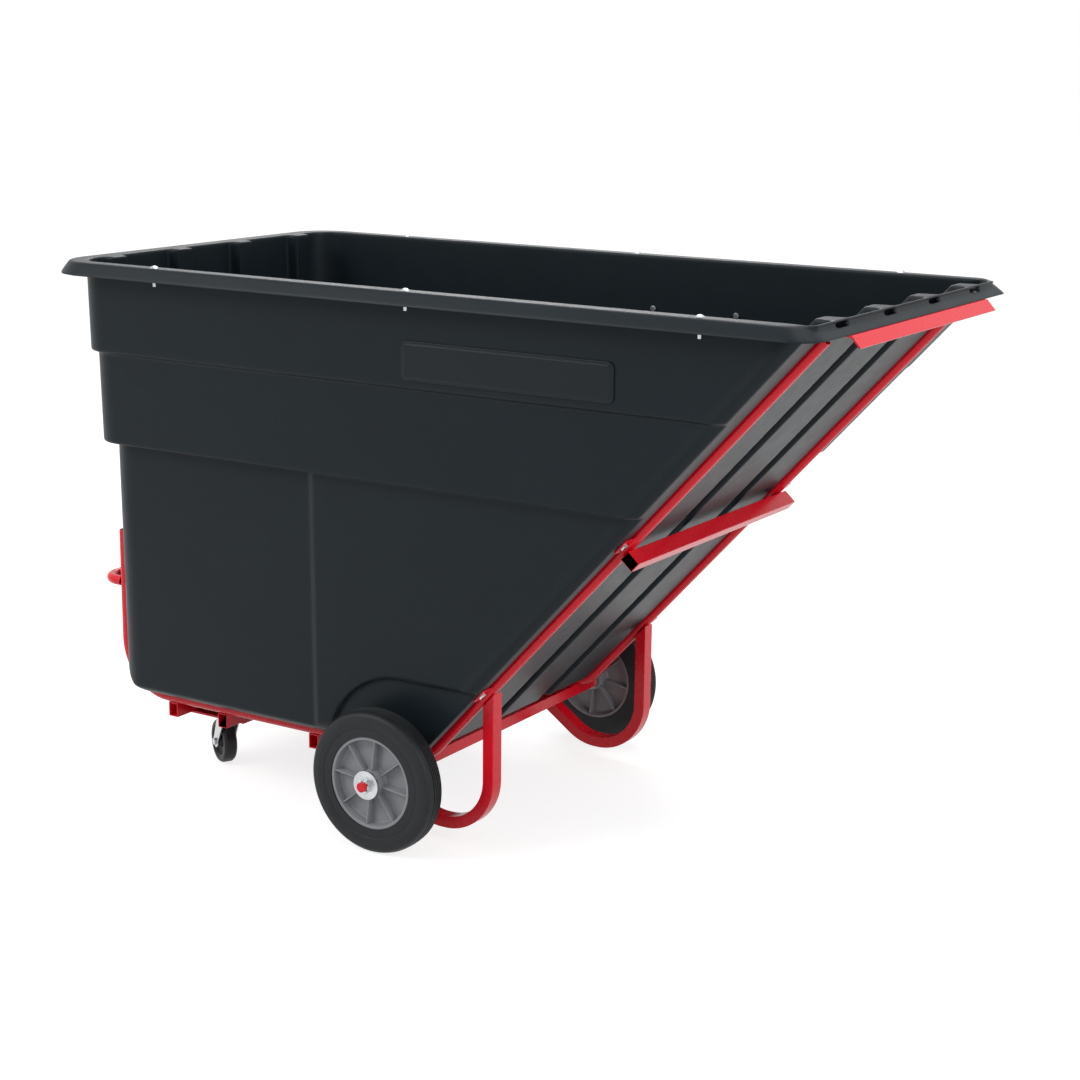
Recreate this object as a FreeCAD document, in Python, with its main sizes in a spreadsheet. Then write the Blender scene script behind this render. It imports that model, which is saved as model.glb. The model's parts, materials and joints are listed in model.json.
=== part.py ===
import FreeCAD, Part
import Sketcher
import math
import os
from FreeCAD import Placement, Rotation, Vector

# A tilt truck: a rotomoulded hopper bolted to a welded tube frame, with two large wheels
# on a fixed axle near the middle and two swivel casters at the rear.
# Millimetres. +X points to the dump end, +Z up, and the origin is on the ground under
# the middle of the whole truck. "right" is the -Y side, as seen by someone pushing.

# Driving sizes: alias, value, meaning.
SIZES = [
    ("rim_length", 1800, "outside of the rim, rear to dump end"),
    ("rim_width", 950, "outside of the rim, side to side"),
    ("rim_height", 1150, "ground to the top of the rim"),
    ("rim_corner", 110, "outside corner radius of the rim at the rear"),
    ("rim_front_corner", 58, "outside corner radius of the rim at the dump end"),
    ("rim_skirt", 27, "height of the flared lip"),
    ("lip_flare", 20, "lip edge in to its ridge, sides and rear"),
    ("lip_front_flare", 37, "lip edge in to its ridge, dump end"),
    ("rim_edge", 5, "rounding of the lip's ridge"),
    ("tub_wall", 6, "wall of the moulded hopper"),
    ("foot_ahead", 46.2, "axle forward to the foot of the dump face"),
    ("upper_height", 193, "rim top down to the upper ledge"),
    ("middle_height", 198, "upper ledge down to the lower ledge"),
    ("upper_inset", 48, "lip edge in to the upper wall, sides"),
    ("upper_rear_inset", 52, "lip edge in to the upper wall, rear"),
    ("middle_inset", 11, "upper ledge, sides"),
    ("middle_rear_inset", 11, "upper ledge, rear"),
    ("lower_inset", 23, "lower ledge, sides"),
    ("lower_rear_inset", 15, "lower ledge, rear"),
    ("tub_draft", 0.8, "taper of the side walls, degrees"),
    ("tub_corner", 72, "rear upright corner radius"),
    ("floor_radius", 42, "radius between floor and side walls"),
    ("slope_angle", 47.67, "dump face above the ground, degrees"),
    ("slope_inset", 42.7, "lip edge in to the dump face below the lip"),
    ("slope_chamfer", 14, "chamfer between dump face and sides"),
    ("bead_width", 36, "raised bead along the dump face's edges, foot to edge"),
    ("bead_height", 4, "how far the bead stands out from the sides"),
    ("crease_setback", 202, "axle back to the crease in the lower side"),
    ("crease_width", 14, "width of the crease"),
    ("crease_step", 7, "how far the rear panel sits in"),
    ("channel_mouth", 46, "width of a channel at the surface"),
    ("channel_floor", 32, "width of a channel at its floor"),
    ("channel_depth", 28, "depth of a channel"),
    ("rear_channel_start", 620, "height where the rear channels begin"),
    ("arch_gap", 37, "tyre out to the wheel arch"),
    ("arch_ahead", 20, "arch centre ahead of the axle"),
    ("arch_rise", 15, "arch centre above the axle"),
    ("arch_side_gap", 43.3, "tyre in to the arch's inner wall"),
    ("badge_length", 475, "blank raised plaque, length"),
    ("badge_height", 78, "blank raised plaque, height"),
    ("badge_thick", 5, "blank raised plaque, thickness"),
    ("badge_corner", 12, "plaque corner radius"),
    ("badge_ahead", 247, "rim's middle forward to the plaque centre"),
    ("badge_drop", 137, "rim top down to the plaque centre"),
    ("badge_screw_pitch", 207, "spacing of the plaque's two screws"),
    ("badge_screw_ahead", 194, "rim's middle forward to the middle of the screws"),
    ("badge_screw_drop", 118, "rim top down to the screws"),
    ("screw_radius", 3, "plaque screw shank"),
    ("screw_head", 6.5, "plaque screw head radius"),
    ("screw_head_height", 4, "plaque screw head height"),
    ("stud_pitch", 634, "spacing of the rim studs"),
    ("stud_ahead", 32, "rim's middle forward to the middle rim stud"),
    ("stud_edge", 32, "lip edge in to the rim studs"),
    ("stud_radius", 4, "rim stud shank"),
    ("stud_head", 9, "rim stud dome radius"),
    ("stud_dome", 5, "rim stud dome height"),
    ("stud_length", 38, "rim stud below the lip's top"),
    ("nut_flats", 13, "rim nut across flats"),
    ("nut_height", 7, "rim nut height"),
    ("rail_size", 25, "round rail tube, outside"),
    ("rail_wall", 2, "rail tube wall"),
    ("rail_inset", 73.5, "lower side wall in to each rail"),
    ("rail_height", 180, "ground to the rails' lower run"),
    ("rail_bend", 50, "rail bend radius under the dump face"),
    ("rail_rear_bend", 118, "rail bend radius at the rear"),
    ("rail_top", 545, "height of the rails' rear ends"),
    ("seat_gap", 0.2, "paint and fit-up gap between tubes and tub"),
    ("box_deep", 32, "rectangular tube, deep side"),
    ("box_thin", 25, "rectangular tube, thin side"),
    ("box_wall", 2.5, "rectangular tube wall"),
    ("cross_overhang", 6, "rails out to the cross tube ends"),
    ("rear_tube_gap", 14.3, "end of the rails' rear bend forward to the rear cross tube"),
    ("caster_tube_pitch", 142, "rear cross tube forward to the middle one"),
    ("front_tube_setback", 254, "axle back to the front cross tube"),
    ("slope_tube_up", 675, "slope foot up to the slope cross tube"),
    ("slope_tube_overhang", 22, "rails out to the slope tube ends"),
    ("leg_inset", 6, "rails in to the legs"),
    ("leg_ahead", 148.3, "foot of the dump face forward to the legs"),
    ("leg_clearance", 31, "ground to the underside of the legs"),
    ("leg_bend", 106, "leg bend radius"),
    ("leg_flat", 8, "straight run between the leg's bends"),
    ("leg_rise_angle", 35, "rear part of the leg above the ground, degrees"),
    ("handle_height", 425, "ground to the push bar"),
    ("handle_size", 22, "push bar tube, outside"),
    ("handle_wall", 2, "push bar tube wall"),
    ("handle_reach", 70, "rails back to the push bar"),
    ("handle_bend", 45, "push bar bend radius"),
    ("lip_bar_overhang", 11, "rails out to the lip angle's ends"),
    ("lip_bar_step", 2, "lip's front edge forward to the lip angle's face"),
    ("lip_bar_face", 27, "lip angle, width of its slanted face"),
    ("lip_bar_lean_angle", 42, "lip angle, its face from upright, degrees"),
    ("lip_bar_thick", 3, "lip angle thickness"),
    ("lip_bar_tab", 26, "lip angle, width of a tab"),
    ("lip_bar_tab_reach", 26, "lip angle, reach of a tab into its channel"),
    ("tab_length", 36, "frame tab along the dump face"),
    ("tab_width", 34, "frame tab across the dump face"),
    ("tab_bolt_out", 22, "rail's side out to the tab's bolt"),
    ("tab_thick", 3, "frame tab thickness"),
    ("tab_hole", 4.5, "frame tab bolt radius"),
    ("wheel_radius", 150, "large wheel, tyre outside"),
    ("tyre_width", 52, "large wheel, tyre width"),
    ("tyre_shoulder", 19, "tyre shoulder rounding"),
    ("rim_seat", 97, "large wheel, tyre seat radius"),
    ("wheel_rim_width", 44, "large wheel, width of its rim"),
    ("wheel_rim_wall", 6, "large wheel, rim wall"),
    ("wheel_web", 6, "large wheel, web thickness"),
    ("wheel_rib", 4, "large wheel, rib thickness"),
    ("wheel_ribs", 8, "large wheel, number of ribs"),
    ("rib_setback", 2, "rib edge in from the rim edge"),
    ("hub_radius", 27, "large wheel, hub outside"),
    ("hub_length", 62, "large wheel, hub length"),
    ("bush_wall", 3, "bush wall"),
    ("shaft_radius", 10, "axle shaft"),
    ("running_gap", 0.05, "radial clearance of a running fit"),
    ("side_gap", 0.3, "clearance along a running axis"),
    ("shaft_end", 5.4, "castle nut out to the shaft's end"),
    ("bar_overhang", 84, "rails out to the axle tube's ends"),
    ("collar_radius", 22, "inner axle washer"),
    ("collar_thick", 10, "inner axle washer thickness"),
    ("cap_radius", 30, "outer axle washer"),
    ("cap_thick", 5, "outer axle washer thickness"),
    ("castle_flats", 27, "castle nut across flats"),
    ("castle_height", 11, "castle nut height"),
    ("castle_slot", 4, "castle nut slot width"),
    ("castle_slot_depth", 4.5, "castle nut slot depth"),
    ("cotter_radius", 1.6, "cotter pin wire"),
    ("saddle_length", 40, "axle saddle along the rail"),
    ("caster_inset", 106, "rails in to each caster"),
    ("plate_width", 112, "caster carrier plate, side to side"),
    ("plate_thick", 5, "caster carrier plate thickness"),
    ("caster_ahead", 66, "rear cross tube forward to the caster swivels"),
    ("caster_turn_angle", 30, "angle the casters stand at, degrees"),
    ("caster_trail", 38, "swivel back to the caster axle"),
    ("caster_radius", 50, "caster wheel"),
    ("caster_width", 30, "caster tread width"),
    ("caster_core", 37, "caster core radius"),
    ("caster_axle", 5, "caster axle radius"),
    ("caster_base_length", 96, "caster top plate length"),
    ("caster_base_width", 70, "caster top plate width"),
    ("caster_base_thick", 3, "caster top plate thickness"),
    ("race_radius", 28, "caster raceway"),
    ("race_height", 7, "caster raceway height"),
    ("crown_height", 7, "caster fork crown height"),
    ("kingpin_radius", 6, "caster kingpin"),
    ("kingpin_head", 11, "caster kingpin head radius"),
    ("kingpin_head_height", 4, "caster kingpin head height"),
    ("fork_thick", 3, "caster fork leg thickness"),
    ("fork_gap", 3, "tread to fork leg"),
    ("fork_end", 14, "caster fork leg end radius"),
    ("plate_bolt", 4, "caster plate bolt radius"),
    ("plate_bolt_pitch_x", 76, "caster plate bolts, lengthwise"),
    ("plate_bolt_pitch_y", 50, "caster plate bolts, crosswise"),
    ("bolt_radius", 5, "hopper floor bolt radius"),
    ("bolt_head", 11, "hopper floor bolt head radius"),
    ("bolt_head_height", 4, "hopper floor bolt head height"),
    ("bolt_spread", 80, "middle plane out to the floor bolts"),
    ("bolt_nut_flats", 17, "hopper floor nut across flats"),
    ("bolt_nut_height", 8, "hopper floor nut height"),
    ("bolt_tip", 2, "bolt end beyond its nut or wall"),
]

doc = FreeCAD.newDocument("TiltTruck")
sheet = doc.addObject("Spreadsheet::Sheet", "Sizes")


def add_cells(rows, first):
    """Write alias, value and meaning into consecutive rows of the sheet."""
    for index, (alias, value, note) in enumerate(rows):
        row = first + index
        sheet.set(f"A{row}", alias)
        sheet.set(f"B{row}", str(value))
        sheet.set(f"C{row}", note)
        sheet.setAlias(f"B{row}", alias)


add_cells(SIZES, 1)
doc.recompute()


def size(alias):
    """The number held by one cell of the sheet."""
    return float(sheet.get(alias))


def tan_deg(angle):
    """Tangent of an angle in degrees."""
    return math.tan(math.radians(angle))


# Places worked out from the driving sizes. X is counted from the axle until axle_x is added.
SLOPE = math.radians(size("slope_angle"))
ALONG = Vector(math.cos(SLOPE), 0, math.sin(SLOPE))
OUTWARD = Vector(math.sin(SLOPE), 0, -math.cos(SLOPE))
HALF_RIM = size("rim_width") / 2
RIM_TOP = size("rim_height")
LIP_UNDER = RIM_TOP - size("rim_skirt")
FOOT_X = size("foot_ahead")
RIM_FRONT = FOOT_X + (LIP_UNDER - size("rail_height")) / math.tan(SLOPE) + size("slope_inset")
RIM_REAR = RIM_FRONT - size("rim_length")
RIM_MIDDLE = (RIM_FRONT + RIM_REAR) / 2
LEAN = math.radians(size("lip_bar_lean_angle"))
FRONT_END = RIM_FRONT + size("lip_bar_step") + size("lip_bar_face") * math.sin(LEAN)
WALL = size("tub_wall")
RAIL_R = size("rail_size") / 2
FLOOR_Z = size("rail_height") + RAIL_R + size("seat_gap")
UPPER_LEDGE = RIM_TOP - size("upper_height")
LOWER_LEDGE = UPPER_LEDGE - size("middle_height")
DRAFT = tan_deg(size("tub_draft"))
UPPER_HALF = HALF_RIM - size("upper_inset")
MIDDLE_HALF = UPPER_HALF - size("upper_height") * DRAFT - size("middle_inset")
LOWER_HALF = MIDDLE_HALF - size("middle_height") * DRAFT - size("lower_inset")
UPPER_REAR = RIM_REAR + size("upper_rear_inset")
MIDDLE_REAR = UPPER_REAR + size("upper_height") * DRAFT + size("middle_rear_inset")
LOWER_REAR = MIDDLE_REAR + size("middle_height") * DRAFT + size("lower_rear_inset")
RAIL_REAR = LOWER_REAR - size("seat_gap") - RAIL_R
HANDLE_REAR = RAIL_REAR - size("handle_reach") - size("handle_size") / 2
AXLE_X = -(FRONT_END + min(RIM_REAR, HANDLE_REAR)) / 2
AXLE_Z = size("wheel_radius")
BAR_TOP = AXLE_Z + size("box_thin") / 2
RAIL_UNDER = size("rail_height") - RAIL_R - size("seat_gap")
CROSS_Z = RAIL_UNDER - size("box_deep") / 2
PLATE_TOP = RAIL_UNDER - size("box_deep")
PLATE_Z = PLATE_TOP - size("plate_thick")
BASE_Z = PLATE_Z - size("caster_base_thick")
RACE_Z = BASE_Z - size("race_height")
CROWN_TOP = RACE_Z - size("side_gap")
CROWN_Z = CROWN_TOP - size("crown_height")
KING_HEAD_TOP = CROWN_Z - size("side_gap")
KING_Z = KING_HEAD_TOP - size("kingpin_head_height")
FORK_INSIDE = size("caster_width") / 2 + size("fork_gap")
RAIL_Y = LOWER_HALF - size("rail_inset")
BAR_REACH = RAIL_Y + size("bar_overhang")
HUB_INNER = BAR_REACH + size("collar_thick") + size("side_gap")
TYRE_INNER = HUB_INNER + (size("hub_length") - size("tyre_width")) / 2
CAP_Y = HUB_INNER + size("hub_length") + size("side_gap")
NUT_Y = CAP_Y + size("cap_thick")
COTTER_Y = NUT_Y + size("castle_height") - size("castle_slot_depth") / 2
REAR_TUBE = RAIL_REAR + size("rail_rear_bend") + size("rear_tube_gap")
FOOT = Vector(AXLE_X + FOOT_X, 0, size("rail_height"))

DERIVED = [
    ("axle_x", AXLE_X, "axle in the truck's frame"),
    ("axle_z", AXLE_Z, "axle height"),
    ("cross_z", CROSS_Z - size("box_deep") / 2, "underside of the cross tubes"),
    ("plate_z", PLATE_Z, "underside of the carrier plates"),
    ("rail_under", RAIL_UNDER, "underside of the rails"),
    ("saddle_thick", RAIL_UNDER - BAR_TOP, "axle saddle thickness"),
    ("cap_y", CAP_Y, "inner face of the outer washer"),
    ("nut_y", NUT_Y, "inner face of the castle nut"),
    ("cotter_y", COTTER_Y, "cotter pin"),
    ("rail_spread", RAIL_Y, "middle plane out to each rail"),
    ("leg_spread", RAIL_Y - size("leg_inset"), "middle plane out to each leg"),
    ("cross_reach", RAIL_Y + size("cross_overhang"), "middle plane out to the cross tube ends"),
    ("slope_tube_reach", RAIL_Y + size("slope_tube_overhang"), "middle plane out to the slope tube ends"),
    ("channel_pitch", 2 * RAIL_Y / 3, "spacing of the moulded channels, the outer two behind the rails"),
    ("bar_reach", BAR_REACH, "middle plane out to the axle tube's ends"),
    ("hub_inner", HUB_INNER, "middle plane out to the hub's inner end"),
    ("shaft_reach", NUT_Y + size("castle_height") + size("shaft_end"), "middle plane out to the shaft's end"),
    ("arch_wall", TYRE_INNER - size("arch_side_gap"), "middle plane out to the arch's inner wall"),
    ("arch_radius", size("wheel_radius") + size("arch_gap"), "wheel arch radius"),
    ("plate_spread", RAIL_Y - size("caster_inset"), "middle plane out to each caster"),
    ("rear_tube_setback", -REAR_TUBE, "axle back to the rear cross tube"),
    ("middle_tube_setback", -REAR_TUBE - size("caster_tube_pitch"), "axle back to the middle cross tube"),
    ("caster_setback", -REAR_TUBE - size("caster_ahead"), "axle back to the caster swivels"),
]
add_cells(DERIVED, len(SIZES) + 2)
doc.recompute()

NODES = {}
SIDES = (("right", -1), ("left", 1))


def keep(label, item):
    """Name a finished sub-part and list it for export."""
    item.Label = label
    NODES[label] = item
    return item


def shape_node(label, shape, place=None):
    """A sub-part whose shape comes from the sheet's numbers directly."""
    item = doc.addObject("Part::Feature", label)
    item.Shape = shape
    if place is not None:
        item.Placement = place
    return keep(label, item)


def bind(item, **formulas):
    """Tie properties to the sheet: s.NAME in a formula means the cell NAME."""
    for name, formula in formulas.items():
        item.setExpression(name, formula.replace("s.", "Sizes."))


def place_at(item, x, y, z, rotation=None):
    """Tie an item's position to the sheet, with a fixed rotation."""
    if rotation is not None:
        item.Placement = Placement(Vector(), rotation)
    for axis, formula in zip("xyz", (x, y, z)):
        item.setExpression(f"Placement.Base.{axis}", formula.replace("s.", "Sizes."))


def box(name, lengths, corner):
    """A block with formulas for its three lengths and its lowest corner."""
    item = doc.addObject("Part::Box", name)
    bind(item, Length=lengths[0], Width=lengths[1], Height=lengths[2])
    place_at(item, *corner)
    return item


AXIS_TURN = {
    "x": Rotation(Vector(0, 1, 0), 90),
    "y": Rotation(Vector(1, 0, 0), -90),
    "z": Rotation(),
}


def rod(name, radius, length, start, axis):
    """A cylinder along +x, +y or +z from its start point, all by formulas."""
    item = doc.addObject("Part::Cylinder", name)
    bind(item, Radius=radius, Height=length)
    place_at(item, *start, AXIS_TURN[axis])
    return item


def cut(name, base, tool):
    """One solid minus another, kept as a document object."""
    item = doc.addObject("Part::Cut", name)
    item.Base = base
    item.Tool = tool
    return item


def fuse(name, items):
    """Several document objects joined, or grouped where they don't touch."""
    item = doc.addObject("Part::MultiFuse", name)
    item.Shapes = items
    return item


def at(x, y, z):
    """A point given from the axle in X, in the truck's frame."""
    return Vector(AXLE_X + x, y, z)


def slope_point(along, across, out):
    """A point by its run up the slope from the foot, its side place and its height off it."""
    point = FOOT + ALONG * along + OUTWARD * out
    return Vector(point.x, across, point.z)


def polygon_face(points):
    """A flat face from its corner points."""
    return Part.Face(Part.makePolygon(points + [points[0]]))


def rounded_path(points, radii):
    """A wire of straight runs joined by tangent arcs, one radius for each inner point."""
    edges = []
    last = points[0]
    for before, corner, after, radius in zip(points, points[1:], points[2:], radii):
        come = (before - corner).normalize()
        leave = (after - corner).normalize()
        half = come.getAngle(leave) / 2
        reach = radius / math.tan(half)
        start = corner + come * reach
        end = corner + leave * reach
        middle = corner + (come + leave).normalize() * (radius / math.sin(half) - radius)
        edges.append(Part.LineSegment(last, start).toShape())
        edges.append(Part.Arc(start, middle, end).toShape())
        last = end
    edges.append(Part.LineSegment(last, points[-1]).toShape())
    return Part.Wire(edges)


def swept(path, profile):
    """A solid that follows a path."""
    return path.makePipeShell([profile], True, False)


def round_tube(path, outer, wall):
    """A bent round tube along a path."""
    start = path.Edges[0].valueAt(path.Edges[0].FirstParameter)
    heading = path.Edges[0].tangentAt(path.Edges[0].FirstParameter)
    rings = [Part.Wire(Part.makeCircle(r, start, heading)) for r in (outer, outer - wall)]
    return swept(path, rings[0]).cut(swept(path, rings[1]))


def box_tube(path, half_across, half_thin, wall):
    """A bent rectangular tube along a path in an XZ plane."""
    start = path.Edges[0].valueAt(path.Edges[0].FirstParameter)
    heading = path.Edges[0].tangentAt(path.Edges[0].FirstParameter)
    across = Vector(0, 1, 0)
    thin = heading.cross(across)
    skins = []
    for inset in (0, wall):
        a = across * (half_across - inset)
        b = thin * (half_thin - inset)
        corners = [start + a + b, start + a - b, start - a - b, start - a + b]
        skins.append(swept(path, Part.makePolygon(corners + [corners[0]])))
    return skins[0].cut(skins[1])


# Hopper: three stacked tiers, each narrower than the one above, with a slanted front.
def slope_x(z):
    """Where the dump face is at a height, from the axle."""
    return FOOT_X + (z - size("rail_height")) / math.tan(SLOPE)


def arc_edge(a, middle, b):
    """A quarter arc through three points."""
    return Part.Arc(a, middle, b).toShape()


def bead_section(half, inset):
    """The bead along the dump face's edge: runs back to its foot and crown, then half-widths."""
    chamfer, height = size("slope_chamfer"), size("bead_height")
    rise = height / (size("bead_width") - chamfer)
    diagonal = inset * math.sqrt(2)
    shift = (diagonal - inset * math.hypot(1, rise)) / (1 + rise)
    foot = chamfer + (height + inset - inset * math.hypot(1, rise)) / rise
    crown_half = half + height + shift - diagonal
    corner_half = half + height - chamfer + inset - diagonal
    return foot / math.sin(SLOPE), (chamfer + shift) / math.sin(SLOPE), crown_half, corner_half


def plan_wire(z, half, rear, inset, crease):
    """One tier's outline at a height, moved in from the outside by an inset."""
    edge = slope_x(z)
    front = edge - inset / math.sin(SLOPE)
    wide = half - inset
    step = size("crease_step") if crease else 0
    back = rear + inset
    radius = size("tub_corner") - inset
    narrow = wide - step
    foot_run, crown_run, crown, corner_half = bead_section(half, inset)
    bow = radius * (1 - math.sqrt(0.5))
    knee = -size("crease_setback")
    lean = size("crease_width") / 2

    def corner(sign):
        ends = [at(back, sign * (narrow - radius), z), at(back + radius, sign * narrow, z)]
        middle = at(back + bow, sign * (narrow - bow), z)
        return ends[0], middle, ends[1]

    def side(sign):
        points = [at(back + radius, sign * narrow, z)]
        if crease:
            points.append(at(knee - lean, sign * narrow, z))
            points.append(at(knee + lean, sign * wide, z))
        points.append(at(edge - foot_run, sign * wide, z))
        points.append(at(edge - crown_run, sign * crown, z))
        points.append(at(front, sign * corner_half, z))
        return points

    right = side(-1)
    left = side(1)[::-1]
    loop = right + left
    edges = [arc_edge(*corner(-1))]
    for a, b in zip(loop, loop[1:]):
        edges.append(Part.LineSegment(a, b).toShape())
    start, middle, end = corner(1)
    edges.append(arc_edge(end, middle, start))
    edges.append(Part.LineSegment(start, corner(-1)[0]).toShape())
    return Part.Wire(edges)


def tier(bottom, top, half_top, rear_top, rear_draft, inset, crease=False):
    """A tier between two heights, with drafted sides."""
    fall = top - bottom
    low = plan_wire(bottom, half_top - fall * DRAFT, rear_top + fall * rear_draft, inset, crease)
    high = plan_wire(top, half_top, rear_top, inset, crease)
    return Part.makeLoft([low, high], True, True)


def floor_trim(inset):
    """The space that keeps the lower tier round at the rear and along its bottom edges."""
    low = FLOOR_Z + inset
    high = LOWER_LEDGE + size("middle_height")
    big = size("rail_rear_bend") - RAIL_R - size("seat_gap") - inset
    back = LOWER_REAR + inset
    bow = big * (1 - math.sqrt(0.5))
    far = RIM_FRONT
    side_points = [at(back, 0, high), at(back, 0, low + big)]
    side_edges = [
        Part.LineSegment(*side_points).toShape(),
        arc_edge(side_points[1], at(back + bow, 0, low + bow), at(back + big, 0, low)),
        Part.LineSegment(at(back + big, 0, low), at(far, 0, low)).toShape(),
        Part.LineSegment(at(far, 0, low), at(far, 0, high)).toShape(),
        Part.LineSegment(at(far, 0, high), at(back, 0, high)).toShape(),
    ]
    side_face = Part.Face(Part.Wire(side_edges))
    side_face.translate(Vector(0, -HALF_RIM, 0))
    side_solid = side_face.extrude(Vector(0, 2 * HALF_RIM, 0))

    small = size("floor_radius") - inset
    height = low + small
    edge_y = LOWER_HALF - (LOWER_LEDGE - height) * DRAFT - inset
    bend = small * (1 - math.sqrt(0.5))
    right, left = [], []
    for sign, chain in ((-1, right), (1, left)):
        chain += [
            at(RIM_REAR, sign * (edge_y - small), low),
            at(RIM_REAR, sign * (edge_y - bend), low + bend),
            at(RIM_REAR, sign * edge_y, height),
            at(RIM_REAR, sign * HALF_RIM, height),
            at(RIM_REAR, sign * HALF_RIM, high),
        ]
    end_edges = [Part.LineSegment(right[0], left[0]).toShape(), arc_edge(*left[:3])]
    for chain in (left, right):
        end_edges.append(Part.LineSegment(chain[2], chain[3]).toShape())
        end_edges.append(Part.LineSegment(chain[3], chain[4]).toShape())
    end_edges.append(Part.LineSegment(left[4], right[4]).toShape())
    end_edges.append(arc_edge(*right[:3]))
    end_face = Part.Face(Part.Wire(Part.__sortEdges__(end_edges)))
    end_solid = end_face.extrude(Vector(size("rim_length"), 0, 0))
    return side_solid.common(end_solid)


def arch_block(grow):
    """The room for both large wheels, grown by a distance."""
    centre_z = AXLE_Z + size("arch_rise")
    radius = size("arch_radius") + grow
    inner = size("arch_wall") - grow
    depth = HALF_RIM - inner
    blocks = []
    for _, sign in SIDES:
        start = inner if sign > 0 else -HALF_RIM
        middle = at(size("arch_ahead"), start, centre_z)
        drum = Part.makeCylinder(radius, depth, middle, Vector(0, 1, 0))
        room = Part.makeBox(RIM_FRONT, depth, centre_z, at(size("arch_ahead"), start, 0))
        above = Part.makeBox(RIM_FRONT, depth, radius, middle)
        under = Part.makeBox(2 * radius, depth, centre_z, middle - Vector(radius, 0, centre_z))
        blocks += [drum, room, above, under]
    return blocks[0].fuse(blocks[1:])


def trapezoid(middle, across, inward, grow):
    """A channel's section: its mouth stands proud of the surface, its floor lies inside."""
    mouth = size("channel_mouth") / 2 + grow
    bottom = size("channel_floor") / 2 + grow
    depth = size("channel_depth") + grow
    flare = (mouth - bottom) * WALL / depth
    lift = inward * -WALL
    return polygon_face([
        middle + lift - across * (mouth + flare),
        middle + lift + across * (mouth + flare),
        middle + inward * depth + across * bottom,
        middle + inward * depth - across * bottom,
    ])


def channel_places():
    """Side places of the four channels on an end of the hopper."""
    return [(index - 1.5) * size("channel_pitch") for index in range(4)]


def channels(grow, top):
    """All moulded channels of both ends, grown by the wall for the inside."""
    across = Vector(0, 1, 0)
    solids = []
    long = (top - FLOOR_Z) / math.sin(SLOPE) + 2 * size("channel_depth")
    for place in channel_places():
        base = slope_point(-2 * size("channel_depth"), place, 0)
        front = trapezoid(base, across, OUTWARD * -1, grow).extrude(ALONG * (long * 1.1))
        solids.append(front.common(Part.makeBox(
            size("rim_length"), size("rim_width"), top, at(RIM_REAR, -HALF_RIM, 0))))
        levels = [
            (size("rear_channel_start") - grow, LOWER_LEDGE + grow, LOWER_REAR),
            (LOWER_LEDGE + grow, UPPER_LEDGE + grow, MIDDLE_REAR),
            (UPPER_LEDGE + grow, top, UPPER_REAR),
        ]
        for low, high, rear in levels:
            middle = at(rear, place, low)
            section = trapezoid(middle, across, Vector(1, 0, 0), grow)
            solids.append(section.extrude(Vector(0, 0, high - low)))
    return solids


def rounded_plan(rear, front, half, rear_radius, front_radius, z):
    """A level rectangle with one corner radius at each end."""
    bow = 1 - math.sqrt(0.5)
    arcs = []
    for x, side, inward, radius in ((rear, -1, 1, rear_radius), (front, -1, -1, front_radius),
                                    (front, 1, -1, front_radius), (rear, 1, 1, rear_radius)):
        y = side * half
        along = at(x + inward * radius, y, z)
        across = at(x, y - side * radius, z)
        middle = at(x + inward * radius * bow, y - side * radius * bow, z)
        ends = (across, along) if inward == -side else (along, across)
        arcs.append((ends[0], middle, ends[1]))
    edges = []
    for arc, after in zip(arcs, arcs[1:] + arcs[:1]):
        edges.append(arc_edge(*arc))
        edges.append(Part.LineSegment(arc[2], after[0]).toShape())
    return Part.Wire(edges)


def lip_wire(z, wall):
    """The flared lip's outline at a height, moved in by a wall."""
    skirt = size("rim_skirt")
    insets = []
    for flare in (size("lip_flare"), size("lip_front_flare")):
        insets.append(flare * (z - LIP_UNDER) / skirt + wall * math.hypot(flare, skirt) / skirt)
    side, end = insets
    return rounded_plan(RIM_REAR + side, RIM_FRONT - end, HALF_RIM - side,
                        size("rim_corner") - side, size("rim_front_corner") - side, z)


def lip_block(wall, low, high):
    """The flared lip's outside, or its hollow, between two heights."""
    return Part.makeLoft([lip_wire(low, wall), lip_wire(high, wall)], True, True)


def top_edges(solid):
    """The edges of a solid's top face."""
    high = solid.BoundBox.ZMax
    return [e for e in solid.Edges if e.BoundBox.ZMin > high - 1e-6]


def side_half(z):
    """Half-width of the upper tier at a height."""
    return UPPER_HALF - (RIM_TOP - z) * DRAFT


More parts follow.
